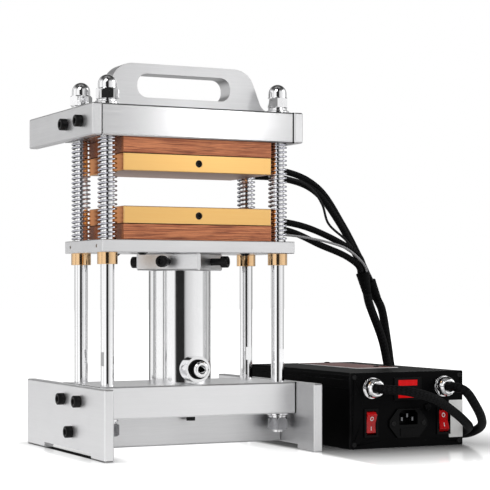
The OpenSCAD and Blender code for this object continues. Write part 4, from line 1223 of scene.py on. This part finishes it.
    def floor(self) -> None:
        """Lays a pale glossy floor that keeps the lamps' shadow, has painted shadow near the case and base, and
        carries the flags on.
        """
        mesh = bpy.data.meshes.new("Floor")
        reach = self.floor_reach
        mesh.from_pydata([(x, y, 0) for x, y in rectangle(-reach, -reach, reach, reach)], [], [(0, 1, 2, 3)])
        mesh.materials.append(new_material("Pale floor"))
        s = Surface(mesh.materials[0])
        seen, glossy = self.rays(s)
        away = s.add("ShaderNodeVectorMath", {"operation": "LENGTH"}, i0=s.place).outputs["Value"]
        dark = s.times(s.rest(self.bands(s, s.place)), s.ramp(away, *self.flags_begin))
        pale = s.rest(s.times(glossy, dark))
        box, base = self.clearance(s, "case_lower"), self.clearance(s, "base_side_left")
        # Painted shadow: the floor turns nearly black and loses its gloss under the left base plate, and
        # darkens near the case.
        clear = s.math("GREATER_THAN", base, 0.0)
        tone = s.times(pale, s.ramp(box, *self.box_shadow_tone), s.ramp(clear, 0.0, 1.0, self.under_base_shadow, 1.0))
        # Painted shadow: the glow that makes the floor white fades near the case and the base, but not left of
        # the case.
        beside = s.ramp(s.split(s.place)[0], *self.box_shade_ends)
        far = s.math("MINIMUM", s.math("MAXIMUM", s.ramp(box, *self.box_shade), beside),
                     s.ramp(base, *self.base_shade))
        glow = s.times(s.math("POWER", s.times(far, clear), 2.0), self.glow_seen, seen)
        s.give(Base_Color=s.add("ShaderNodeCombineXYZ", i0=tone, i1=tone, i2=tone).outputs[0],
               Roughness=self.floor_rough, Specular_IOR_Level=s.times(clear, self.floor_gloss),
               Emission_Color=WHITE,
               Emission_Strength=s.math("ADD", glow, s.times(glossy, pale, self.glow_mirrored)))
        link_mesh("Floor", mesh)

    def build(self) -> None:
        """Sets up the whole studio."""
        self.camera()
        self.world()
        self.floor()
        for lamp in self.lamps:
            lamp.hang()
        bpy.context.scene.view_settings.view_transform = "Standard"


def between(a: Vector, b: Vector, low: float, high: float, x: float) -> Vector:
    """Returns the place at x between two, the first at low and the second at high."""
    return a * ((high - x) / (high - low)) + b * ((x - low) / (high - low))


def smooth_route(points: Sequence[Point], count: int, steps: int = 24) -> list[Vector]:
    """Runs one smooth centripetal curve through route points.

    Args:
        points: Route points in millimetres from the press's middle.
        count: How many points the curve gets, evenly spaced.
        steps: Steps between two route points before the spacing is made even.

    Returns:
        The curve's points in metres of the row frame.
    """
    knots = [(PRESS + Vector(p)) * MM for p in points]
    knots = [2 * knots[0] - knots[1], *knots, 2 * knots[-1] - knots[-2]]
    fine: list[Vector] = []
    for index in range(len(knots) - 3):
        near = knots[index:index + 4]
        t = [0.0]
        for a, b in zip(near, near[1:]):
            t.append(t[-1] + max((b - a).length ** 0.5, NO_LENGTH))
        for step in range(steps):
            x = t[1] + (t[2] - t[1]) * step / steps
            row = near
            for width in (1, 2):
                row = [between(a, b, t[n], t[n + width], x) for n, (a, b) in enumerate(zip(row, row[1:]))]
            fine.append(between(*row, t[1], t[2], x))
    fine.append(knots[-2])
    reach = [0.0]
    for a, b in zip(fine, fine[1:]):
        reach.append(reach[-1] + (b - a).length)
    out, place = [], 0
    for step in range(count):
        goal = reach[-1] * step / (count - 1)
        while place < len(reach) - 2 and reach[place + 1] < goal:
            place += 1
        span = reach[place + 1] - reach[place]
        out.append(fine[place].lerp(fine[place + 1], (goal - reach[place]) / span if span else 0.0))
    return out


def tube_mesh(name: str, path: Sequence[Vector], radius: float, sides: int) -> bpy.types.Mesh:
    """Sweeps a round tube along a path, closed at both ends, with a UV map in turns and metres.

    Args:
        name: Name of the mesh.
        path: Points of the middle line in metres.
        radius: Radius in millimetres.
        sides: Faces round the tube.

    Returns:
        The closed mesh.
    """
    work = bmesh.new()
    sheet = work.loops.layers.uv.new("Sleeve")
    ways = [(after - before).normalized()
            for before, after in zip([path[0], *path[:-1]], [*path[1:], path[-1]])]
    side = ways[0].cross(Vector((0, 0, 1)) if abs(ways[0].z) < 0.9 else Vector((0, 1, 0))).normalized()
    rings, marks = [], [0.0]
    for point, way in zip(path, ways):
        side = (side - way * side.dot(way)).normalized()
        other = way.cross(side)
        rings.append([work.verts.new(point + (side * math.cos(angle) + other * math.sin(angle)) * radius * MM)
                      for angle in (FULL_TURN * step / sides for step in range(sides))])
    for a, b in zip(path, path[1:]):
        marks.append(marks[-1] + (b - a).length)
    for start, end, row in zip(marks, marks[1:], skin(work, rings)):
        for step, face in enumerate(row):
            face.smooth = True
            values = ((step, start), (step + 1, start), (step + 1, end), (step, end))
            for loop, (around, along) in zip(face.loops, values):
                loop[sheet].uv = (around / sides, along)
    for ring in (rings[0], rings[-1]):
        work.faces.new(ring)
    return plain_mesh(work, name)


@dataclass(frozen=True)
class Lead:
    """One lead to a splice boot: its route, its angle round the boot, its last run and its finish."""

    name: str
    route: tuple[Point, ...]
    angle: float
    run: float
    finish: Finish = SLEEVE
    radius: float = 4.0
    off_middle: float = 4.2


def sensor(name: str, route: tuple[Point, ...], angle: float, run: float, finish: Finish) -> Lead:
    """Returns a thin sensor wire, which lies outside the pair of leads."""
    return Lead(name, route, angle, run, finish, 1.5, 6.5)


@dataclass(frozen=True)
class Boot:
    """The shrunk sleeve where two leads and a sensor wire join a cable."""

    name: str
    foot: Point
    tilt: float
    height: float = 26.0
    bottom_radius: float = 5.3
    top_radius: float = 8.5

    @property
    def up(self) -> Vector:
        """The way up along the boot."""
        return Vector((-math.sin(math.radians(self.tilt)), 0.0, math.cos(math.radians(self.tilt))))

    def seat(self, angle: float, off_middle: float, gap: float) -> Vector:
        """Finds the place on the boot's top where a lead ends.

        Args:
            angle: Angle round the boot in degrees.
            off_middle: Distance from the boot's middle in millimetres.
            gap: Play between the lead and the boot in millimetres.

        Returns:
            The place in millimetres from the press's middle.
        """
        turn = math.radians(angle)
        side = Vector((self.up.z, 0.0, -self.up.x))
        out = side * math.cos(turn) + Vector((0, math.sin(turn), 0))
        return Vector(self.foot) + self.up * (self.height + gap) + out * off_middle

    def make(self) -> Item:
        """Makes the boot, which swells in four folds.

        Returns:
            The piece.
        """
        bottom, top, tall = self.bottom_radius, self.top_radius, self.height
        profile = [(0.0, 0.0), (bottom - 0.5, 0.0), (bottom, 0.5)]
        for share in (0.2, 0.4, 0.6, 0.8):
            swell, fold = bottom + (top - bottom) * share, tall * share
            profile += [(swell, fold - 0.6), (swell - 0.22, fold), (swell + 0.1, fold + 0.6)]
        profile += [(top, tall - 0.8), (top - 0.5, tall), (0.0, tall)]
        piece = link_mesh(self.name, turned_mesh("boot", profile, 36), RUBBER)
        piece.data.transform(at(*on_press(*self.foot)) @ Matrix.Rotation(math.radians(-self.tilt), 4, "Y"))
        return declared(piece, Body.FRAME, "rubber", "splice_boots")


@dataclass
class Cables:
    """Heater leads, sensor wires and the two cables between the press and the control box."""

    trunk_radius: float = 5.25
    gap: float = 0.05
    trunk_run: float = 13.0
    path_points: int = 40
    bend_start: Point = (70, 80, 255)
    bend_end: Point = (286, 80, 255)
    boots: tuple[Boot, ...] = (Boot("splice_boot_right", (320.0, 104.0, 167.0), 28.0),
                               Boot("splice_boot_left", (294.0, 86.0, 175.5), 14.0))
    upper: tuple[Lead, ...] = (
        Lead("lead_upper_left", ((-45, 56, 317.6), (-45, 72, 317.6), (-26, 106, 320), (30, 115, 324),
                                 (194, 115, 326), (240, 115, 307), (276, 115, 261), (300, 113, 219)), 37, 12),
        Lead("lead_upper_right", ((45, 56, 317.6), (45, 70, 317.6), (68, 100, 316), (188, 105, 316),
                                  (230, 105, 302), (267, 105, 260), (291, 104, 218)), 217, 12),
        sensor("sensor_wire_upper", ((0, 56, 317.6), (0, 66, 317.6), (36, 97, 326), (185, 97, 318),
                                     (218, 97, 307), (236, 97, 286), (245, 97, 262), (270, 96, 241),
                                     (291, 94.5, 216)), -75, 8, DARK_WIRE))
    lower: tuple[Lead, ...] = (
        Lead("lead_lower_left", ((-45, 56, 260.4), (-45, 70, 260.4), (-10, 90, 261), (181, 90, 262),
                                 (234, 89, 248), (282, 88, 223)), 26, 12),
        Lead("lead_lower_right", ((45, 56, 260.4), (45, 66, 260.4), (84, 80, 254), (176, 81, 252),
                                  (226, 81, 234), (263, 81, 220)), 206, 8),
        sensor("sensor_wire_lower", ((0, 56, 260.4), (0, 64, 260.4), (30, 71, 249), (182, 72, 245),
                                     (234, 72, 237), (262, 74, 228)), -63, 6, SENSOR_WIRE))
    trunks: dict[str, list[Point]] = field(default_factory=lambda: {
        "cable_right": [(334, 102, 110), (337, 98, 78), (340, 80, 36), (340, 44, 10), (339, -20, 7),
                        (339, -72, 11), (335, -104, 21), (321, -126, 33), (307, -135, 48), (295, -134, 64),
                        (290.5, -122, 68.5), (290.5, -98.5, 68.5)],
        "cable_left": [(316.5, 86.5, 117), (324, 87, 88), (327, 76, 42), (327, 44, 12), (327, -16, 6),
                       (326, -66, 10), (324.5, -94, 19), (308, -114, 27), (282, -129, 41), (248, -139, 58),
                       (214, -136, 67), (195.5, -121, 68.5), (195.5, -98.5, 68.5)]})

    def cord(self, name: str, route: Sequence[Point], radius: float, finish: Finish, boot: Item, node: str,
             bends: bool = False) -> None:
        """Args:
            name: Name of the piece.
            route: Route points in millimetres from the press's middle.
            radius: Radius in millimetres.
            finish: Finish of the tube.
            boot: The boot that goes with it. Not used.
            node: CAD node that it stands for, with others.
            bends: Whether it runs between the carriage and the frame, which leaves it on no body.
        """
        path, fine = (smooth_route(route, share * self.path_points) for share in (1, 3))
        piece = link_mesh(name, tube_mesh(name, fine, radius, 16 if radius > 2 else 10), finish)
        if bends:
            tuple((PRESS + Vector(self.bend_start)) * MM)
            tuple((PRESS + Vector(self.bend_end)) * MM)
            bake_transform(piece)
        declared(piece, None if bends else Body.FRAME, "braid", node)
        length = sum((b - a).length for a, b in zip(path, path[1:]))
        LOG.info("%s is %.0f mm long", name, length / MM)

    def build(self) -> None:
        """Makes and declares every cord."""
        made = [boot.make() for boot in self.boots]
        for boot, piece, (name, route) in zip(self.boots, made, self.trunks.items()):
            foot = Vector(boot.foot)
            whole = [foot - boot.up * self.gap, foot - boot.up * self.trunk_run, *route]
            self.cord(name, whole[::-1], self.trunk_radius, THICK_SLEEVE, piece, "control_cables")
        for boot, piece, leads, node in zip(self.boots, made, (self.upper, self.lower),
                                            ("upper_leads", "lower_leads")):
            for lead in leads:
                seat = boot.seat(lead.angle, lead.off_middle, self.gap)
                self.cord(lead.name, [*lead.route, seat + boot.up * lead.run, seat], lead.radius, lead.finish,
                          piece, node, bends=leads is self.lower)


@dataclass
class BaseFrame:
    """Base block on two side plates, the bar under it, and their screws."""

    face: float = 129.25
    screws: tuple[Spot, ...] = ((-25.0, 59.0), (25.0, 59.0), (0.0, 24.5))

    def build(self) -> None:
        """Makes the base's pieces."""
        for node, finish in (("base_block", BASE_X), ("base_side_left", BASE_Y), ("base_side_right", BASE_SHADED_SIDE),
                             ("cross_bar", BAR_SHADED)):
            dressed(node, finish, "plate", 0.35)
        for word in ("left", "right"):
            shade_seam(f"base_seam_{word}", f"base_side_{word}", "base_block", 0, thick=1.2)
        CapScrew().set("side_plate_screws", "base_side_screws", [
            (on_press(side * self.face, y, z), (0.0, side * QUARTER, 0.0))
            for side in (-1, 1) for y, z in self.screws])
        kept(SCREW_BLACK, "cylinder_screws")


@dataclass
class GuidePosts:
    """Four chromed posts with their nuts and washers."""

    top: float = 379.0
    base: float = 40.5
    washer: float = 2.5
    washer_radius: float = 12.9
    lock: float = 3.0
    lock_radius: float = 10.5
    lock_gap: float = 8.0
    lock_rise: float = 0.35
    across_flats: float = 22.0
    hex_height: float = 12.0
    dome: float = 20.4
    dome_height: float = 14.8
    base_nut: float = 13.0
    thread: float = 12.0
    post_turns: tuple[float, ...] = (-1.4, 0.35, 0.44, 0.05)
    nut_turns: tuple[float, ...] = (0.154, 0.571, 0.353, 0.8)

    def washer_mesh(self) -> bpy.types.Mesh:
        """Makes a flat washer with rolled edges, standing on z = 0.

        Returns:
            The closed mesh.
        """
        inner, outer, tall = self.thread / 2 + 0.3, self.washer_radius, self.washer
        return turned_mesh("washer", [(inner, 0), (outer - 0.4, 0), (outer, 0.4), (outer, tall - 0.5),
                                      (outer - 0.5, tall), (inner + 0.3, tall), (inner, tall - 0.3)], 60)

    def lock_mesh(self) -> bpy.types.Mesh:
        """Makes a sprung washer whose split ends stand apart, on z = 0.

        Returns:
            The closed mesh.
        """
        work = bmesh.new()
        inner, outer, tall, edge, steps = self.thread / 2 + 0.3, self.lock_radius, self.lock, 0.35, 60
        profile = ((inner, edge), (outer - 0.3, edge), (outer, edge + 0.3), (outer, tall - edge - 0.3),
                   (outer - 0.3, tall - edge), (inner, tall - edge))
        gap = math.radians(self.lock_gap)
        rings = [[round_vertex(work, radius, gap / 2 + (FULL_TURN - gap) * step / steps,
                               height + self.lock_rise * (step / steps - 0.5)) for radius, height in profile]
                 for step in range(steps + 1)]
        skin(work, rings)
        for ring in (rings[0], rings[-1]):
            work.faces.new(ring)
        return plain_mesh(work, "lock washer", SHARP)

    def acorn_mesh(self) -> bpy.types.Mesh:
        """Makes an acorn nut: a chamfered hexagon under a round dome, standing on z = 0.

        Returns:
            The closed mesh.
        """
        flat, tall, radius, steps = self.across_flats, self.hex_height, self.dome / 2, 12
        centre = tall + self.dome_height - radius
        profile = [(0.0, 0.05), (flat / 2 - 0.2, 0.05), (PAST_HEX, 0.6, flat), (PAST_HEX, tall - 1.6, flat),
                   (flat / 2 / math.cos(math.pi / 6) - 0.35, tall - 1.3, flat), (flat / 2 + 0.1, tall - 0.25),
                   (radius + 0.05, tall), (radius, tall + 0.6), (radius, centre)]
        for step in range(1, steps + 1):
            angle = QUARTER * step / steps
            reach = radius * math.cos(angle) if step < steps else 0.0
            profile.append((reach, centre + radius * math.sin(angle)))
        return turned_mesh("acorn nut", profile)

    def base_nut_mesh(self) -> bpy.types.Mesh:
        """Makes a plain nut, chamfered at both ends, standing on z = 0.

        Returns:
            The closed mesh.
        """
        flat, tall, inner = self.across_flats, self.base_nut, self.thread / 2 + 0.05
        return turned_mesh("plain nut", [
            (inner, 0.4), (inner + 0.5, 0.0), (flat / 2, 0.0), (PAST_HEX, 1.2, flat),
            (PAST_HEX, tall - 1.2, flat), (flat / 2, tall), (inner + 0.5, tall), (inner, tall - 0.4)])

    def build(self) -> None:
        """Makes the posts' pieces."""
        spots = corners(POST_X, POST_Y)
        for word, (x, y), turn in zip(("front_left", "front_right", "rear_left", "rear_right"), spots,
                                      self.post_turns):
            post = merged_copy(f"guide_post_{word}", f"turned_post_{word}")
            axis = at(*on_press(x, y, 0.0))
            post.data.transform(axis @ Matrix.Rotation(turn, 4, "Z") @ axis.inverted())
            set_finish(eased(post, 0.15, 1), CHROME)
            declared(post, Body.FRAME, "chrome", f"guide_post_{word}")
        under = self.base - self.washer
        up, down = self.top + self.washer, under - self.lock
        for name, mesh, finish, node, heights, share in (
                ("flat_washers", self.washer_mesh(), CHROME, "post_washers", (self.top, under), 0),
                ("lock_washers", self.lock_mesh(), CHROME, "post_washers", (up, down), 2),
                ("acorn_nuts_domed", self.acorn_mesh(), CHROME, "acorn_nuts", (up + self.lock,), 1),
                ("base_nuts_plain", self.base_nut_mesh(), NUT_ZINC, "base_nuts", (down - self.base_nut,), 1)):
            places = [(on_press(x, y, z), (0.0, 0.0, turn * share))
                      for (x, y), turn in zip(spots, self.nut_turns) for z in heights]
            declared(repeated(name, mesh, finish, places), Body.FRAME, "chrome", node)


@dataclass
class TopFrame:
    """Top block between its side plates, the handle and their screws."""

    face: float = 126.75
    screw_y: float = 23.5
    screw_z: float = 361.75
    sunk: Point = (62.0, 40.0, 372.5)
    under: Point = (75.0, 0.0, 353.0)

    def build(self) -> None:
        """Makes the top's pieces."""
        dressed("top_block", TOP_X, "plate", 0.6)
        for word in ("left", "right"):
            dressed(f"ear_{word}", TOP_Y, "plate", 1.3, steps=3)
        for word in ("left", "right"):
            shade_seam(f"top_seam_{word}", f"ear_{word}", "top_block", 0, thick=1.0)
        dressed("handle", HANDLE_METAL, "plate", 1.0, steps=3)
        CapScrew().set("ear_plate_screws", "ear_screws", [
            (on_press(side * self.face, y, self.screw_z), (0.0, side * QUARTER, 0.0))
            for side in (-1, 1) for y in (-self.screw_y, self.screw_y)])
        x, y, z = self.sunk
        CapScrew(6.0, 3.0, 4.0).set("sunk_screws", "top_block_screws", [
            (on_press(*spot, z), ZERO) for spot in corners(x, y)])
        x, y, z = self.under
        CapScrew(8.0, 4.0, 5.0).set("handle_screws", "top_block_screws", [
            (on_press(side * x, y, z), (math.pi, 0.0, 0.0)) for side in (-1, 1)])


@dataclass
class ReturnSprings:
    """Four close wound springs round the posts, made by Geometry Nodes along a helix."""

    wire: float = 2.3
    outer: float = 21.5
    curls: int = 23
    low: float = 233.5
    high: float = 344.5
    end_gap: float = 0.7
    lift: float = 37.5
    steps: int = 32
    wire_sides: int = 10

    def tree(self) -> Tree:
        """Builds the tree of one spring set at each point of the object.

        Returns:
            The tree.
        """
        g = CopyTree("Return spring", Curls="Float", Radius="Float", Wire_Radius="Float", End_Pitch="Float",
                     Pitch="Float", Points="Int")
        curls, count = g.given["Curls"], g.given["Points"]
        radius, wire_radius = g.given["Radius"], g.given["Wire Radius"]
        line = g.add("GeometryNodeMeshLine", {"mode": "OFFSET"}, Count=count)
        index = g.add("GeometryNodeInputIndex").outputs[0]
        turns = g.times(g.math("DIVIDE", index, g.math("SUBTRACT", count, 1.0)), curls)
        first = g.math("MINIMUM", turns, 1.0)
        middle = g.math("MINIMUM", g.math("MAXIMUM", g.math("SUBTRACT", turns, 1.0), 0.0),
                        g.math("SUBTRACT", curls, 2.0))
        end = g.math("MAXIMUM", g.math("SUBTRACT", turns, g.math("SUBTRACT", curls, 1.0)), 0.0)
        height = g.math("ADD", g.times(g.math("ADD", first, end), g.given["End Pitch"]),
                        g.times(middle, g.given["Pitch"]))
        angle = g.times(turns, FULL_TURN)
        place = g.add("ShaderNodeCombineXYZ", i0=g.times(g.math("COSINE", angle), radius),
                      i1=g.times(g.math("SINE", angle), radius), i2=g.math("ADD", height, wire_radius))
        bent = g.add("GeometryNodeSetPosition", Geometry=line.outputs[0], Position=place.outputs[0])
        curve = g.add("GeometryNodeMeshToCurve", Mesh=bent.outputs[0])
        section = g.add("GeometryNodeCurvePrimitiveCircle", Resolution=self.wire_sides, Radius=wire_radius)
        wire = g.add("GeometryNodeCurveToMesh", Curve=curve.outputs[0], Profile_Curve=section.outputs[0],
                     Fill_Caps=True)
        # How far each point of the wire looks outward, which the wire's finish turns into painted shade on its
        # inner side.
        spot = g.split(g.add("GeometryNodeInputPosition").outputs[0])
        outward = g.math("DIVIDE", g.math("SUBTRACT", g.hypotenuse(spot[0], spot[1]), radius), wire_radius)
        marked = g.add("GeometryNodeStoreNamedAttribute", {"data_type": "FLOAT", "domain": "POINT"},
                       Geometry=wire.outputs[0], Name="outward", Value=outward)
        return g.close(g.add("GeometryNodeSetShadeSmooth", Geometry=marked.outputs[0]).outputs[0])

    def build(self) -> None:
        """Makes the springs and sets them on the frame."""
        span, end_pitch = self.high - self.low, self.wire + self.end_gap
        places = [(on_press(x, y, self.low), ZERO) for x, y in corners(POST_X, POST_Y)]
        piece = run_tree(
            "return_springs", self.tree(), places, SPRING_WIRE, Curls=float(self.curls),
            Radius=(self.outer - self.wire) / 2 * MM, Wire_Radius=self.wire / 2 * MM, End_Pitch=end_pitch * MM,
            Pitch=(span - self.wire - 2 * end_pitch) / (self.curls - 2) * MM,
            Points=self.curls * self.steps + 1)
        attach(piece, Body.FRAME.value)
        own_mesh(piece)
        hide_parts("spring_front_left", "spring_front_right", "spring_rear_left", "spring_rear_right")


@dataclass
class HeatedPlatens:
    """Gold platens, their boards and their heaters."""

    front: float = 52.0
    upper_z: float = 317.6
    lower_z: float = 260.4
    plug_radius: float = 3.95
    plug_flats: float = 4.0

    def plug_mesh(self) -> bpy.types.Mesh:
        """Makes a sunk grub screw with its hexagon socket, its outer end on z = 0.

        Returns:
            The closed mesh.
        """
        wide, flat = self.plug_radius, self.plug_flats
        return turned_mesh("grub screw", [
            (0.0, -5.0), (wide, -5.0), (wide, -0.9), (wide - 0.4, -0.5), (flat / 2 + 0.5, -0.5),
            (PAST_HEX, -0.7, flat), (PAST_HEX, -2.6, flat), (0.0, -2.9)], 48)

    def build(self) -> None:
        """Makes the platens' pieces."""
        halves = (
            ("upper", Body.FRAME, self.upper_z, (("board", "top_block"), ("platen", "upper_platen"))),
            ("lower", Body.CARRIAGE, self.lower_z, (("platen", "lower_platen"), ("board", "moving_plate"))))
        for word, body, _, _ in halves:
            dressed(f"{word}_insulator", BOARD, "board_wood", body=body)
            dressed(f"{word}_platen", GOLD, "platen", body=body)
        for word, body, _, joints in halves:
            for label, other in joints:
                shade_seam(f"{word}_{label}_seam", f"{word}_insulator", other, 2, body)
        kept(STEEL, "upper_heaters", "lower_heaters")
        kept(SCREW_BLACK, "lower_platen_screws")
        for word, body, middle, _ in halves:
            plug = link_mesh(f"{word}_platen_plug", self.plug_mesh(), SCREW_BLACK)
            plug.data.transform(at(*on_press(0, -self.front, middle)) @ Matrix.Rotation(QUARTER, 4, "X"))
            declared(plug, body)


@dataclass
class Carriage:
    """Moving plate with its bushes, and the clamp collar with its screws."""

    collar_z: float = 210.5
    head_reach: float = 50.0

    def build(self) -> None:
        """Makes the moving pieces under the lower board."""
        dressed("moving_plate", MILLED_X, "plate", body=Body.CARRIAGE)
        dressed("guide_bushes", BRONZE, "bronze", body=Body.CARRIAGE)
        dressed("ram_collar", COLLAR_STEEL, "steel", 0.6, Body.CARRIAGE, steps=3)
        angles = [math.radians(45 + 90 * quarter) for quarter in range(4)]
        CapScrew(8.0, 4.0, 26.0).set("collar_clamp_screws", "collar_screws", [
            (on_press(self.head_reach * math.cos(angle), self.head_reach * math.sin(angle), self.collar_z),
             (0.0, QUARTER, angle)) for angle in angles], Body.CARRIAGE)


@dataclass
class Ram:
    """Hydraulic cylinder with its port, piston and seals."""

    def build(self) -> None:
        """Makes the ram's pieces."""
        dressed("ram_cylinder", CYLINDER_CHROME, "chrome", 0.8, steps=3)
        dressed("port_fitting", CHROME, "chrome")
        kept(CHROME, "ram_piston")
        kept(STEEL, "ram_gland")
        kept(RUBBER, "piston_seal", "port_seal")


@dataclass
class ControlBox:
    """Black extruded case with its panels, switches, display, inlet and glands."""

    rocker_x: float = 48.3
    rocker_z: float = 29.0
    axis_depth: float = 2.0
    tilt: float = 9.0
    dip: float = 2.6
    rise: float = 2.0
    half: float = 10.4
    mark_height: float = 0.54
    mark_size: float = 4.4
    mark_line: float = 0.8
    mark_thick: float = 0.2
    ring_tall: float = 1.2

    def ring(self, radius: float) -> list[Spot]:
        """Returns the outline of a ring that is a little taller than wide."""
        angles = (FULL_TURN * n / 32 for n in range(32))
        return [(radius * math.cos(angle), radius * math.sin(angle) * self.ring_tall) for angle in angles]

    def marks(self) -> None:
        """Prints the on and off signs on both rockers: a ring above and a bar below."""
        wide, line = self.mark_size / 2, self.mark_line
        signs = (("ring", 1, self.ring(wide), [self.ring(wide - line)]),
                 ("bar", -1, rectangle(-line / 2, -wide, line / 2, wide), []))
        slope, middle = math.atan2(self.rise, self.half), self.half * self.mark_height
        depth = self.dip + self.rise * middle / self.half + self.mark_thick * 0.6
        for side, body, word in ((-1, Body.ROCKER_LEFT, "left"), (1, Body.ROCKER_RIGHT, "right")):
            seat = at(*(BOX + Vector((side * self.rocker_x, self.axis_depth, self.rocker_z))))
            seat = seat @ Matrix.Rotation(math.radians(-side * self.tilt), 4, "X")
            for sign, way, outline, holes in signs:
                piece = link_mesh(f"rocker_{word}_{sign}", prism_mesh("mark", outline, self.mark_thick, holes),
                                  MARK_WHITE)
                piece.data.transform(seat @ at(0, -depth, way * middle) @ Matrix.Rotation(way * slope, 4, "X"))
                declared(piece, body)

    def build(self) -> None:
        """Makes the control box's pieces."""
        for node, finish in (("case_lower", CASE_BLACK), ("case_upper", CASE_BLACK),
                             ("front_panel", PANEL_BLACK), ("rear_panel", PANEL_BLACK)):
            dressed(node, finish, "case_black", joined=node != "front_panel")
        dressed("display_bezel", PLASTIC_BLACK, "plastic_black")
        dressed("display_windows", WINDOW_RED, "red_window", 0.15)
        dressed("rocker_frames", PLASTIC_BLACK, "plastic_black")
        for body in (Body.ROCKER_LEFT, Body.ROCKER_RIGHT):
            dressed(body.value, ROCKER_RED, "red_rocker", 0.4, body)
        self.marks()
        for node in ("power_inlet", "fuse_cap"):
            dressed(node, PLASTIC_BLACK, "plastic_black")
        for node, width in (("gland_bodies", 0.3), ("gland_caps", 0.4)):
            dressed(node, CHROME, "chrome", width)
        kept(SCREW_BLACK, "panel_screws")
        kept(CIRCUIT, "control_board")
        kept(PIN_SHADED_STEEL, "inlet_pins")


@dataclass(frozen=True)
class BarePlate:
    """A thin plate with round corners and no words, its place in millimetres of the press."""

    name: str
    width: float
    height: float
    thick: float
    radius: float
    place: Point
    finish: Finish
    lies: bool = True

    def outline(self, steps: int = 6) -> list[Spot]:
        """Draws the outline of the plate with its round corners.

        Args:
            steps: Steps round each corner.

        Returns:
            Points in millimetres, centred.
        """
        points = []
        for corner, (x, z) in enumerate(((1, 1), (-1, 1), (-1, -1), (1, -1))):
            for step in range(steps + 1):
                angle = QUARTER * (corner + step / steps)
                points.append((x * (self.width / 2 - self.radius) + self.radius * math.cos(angle),
                               z * (self.height / 2 - self.radius) + self.radius * math.sin(angle)))
        return points

    def make(self) -> None:
        """Makes the plate and lays it at its place."""
        piece = eased(link_mesh(self.name, prism_mesh(self.name, self.outline(), self.thick)),
                      min(self.thick * 0.35, 0.2))
        turn = Matrix.Rotation(-QUARTER if self.lies else 0.0, 4, "X")
        piece.data.transform(at(*on_press(*self.place)) @ turn)
        set_finish(piece, self.finish)
        declared(piece, Body.FRAME)


@dataclass
class BarePlates:
    """The label on the front panel and the plate on the lid, both left bare."""

    plates: tuple[BarePlate, ...] = (
        BarePlate("side_label", 19.0, 43.0, 0.3, 1.0, (308.5, -92.3, 30.5), LABEL_WHITE, lies=False),
        BarePlate("lid_plate", 58.0, 150.0, 0.5, 2.0, (256.0, 70.0, 86.5), PLATE_WHITE),
        BarePlate("lid_plate_middle", 54.0, 144.0, 0.2, 1.0, (256.0, 70.0, 86.65), PLATE_MIDDLE))
    screws: tuple[Point, ...] = ((267.0, 18.0, 86.6), (267.0, 140.0, 86.6))
    screw_turn: float = 0.3

    def build(self) -> None:
        """Makes the plates and the two screws on the lid."""
        for plate in self.plates:
            plate.make()
        button = turned_mesh("button head", [
            (0.0, -2.0), (1.6, -2.0), (1.6, 0.0), (3.6, 0.0), (3.7, 0.2), (3.4, 0.8), (2.6, 1.2), (1.5, 1.3),
            (PAST_HEX, 1.2, 2.2), (PAST_HEX, 0.4, 2.2), (0.0, 0.3)], 36)
        places = [(on_press(*place), (0.0, 0.0, self.screw_turn)) for place in self.screws]
        declared(repeated("lid_plate_screws", button, SCREW_BLACK, places), Body.FRAME)


def main() -> None:
    """Builds the studio, the cords and every sub-assembly in order."""
    logging.basicConfig(level=logging.INFO, format="%(name)s: %(message)s")
    for part in (Studio(), Cables(), BaseFrame(), GuidePosts(), TopFrame(), ReturnSprings(), HeatedPlatens(),
                 Carriage(), Ram(), ControlBox(), BarePlates()):
        part.build()
        LOG.info("built %s", type(part).__name__)


if __name__ == "__main__":
    main()
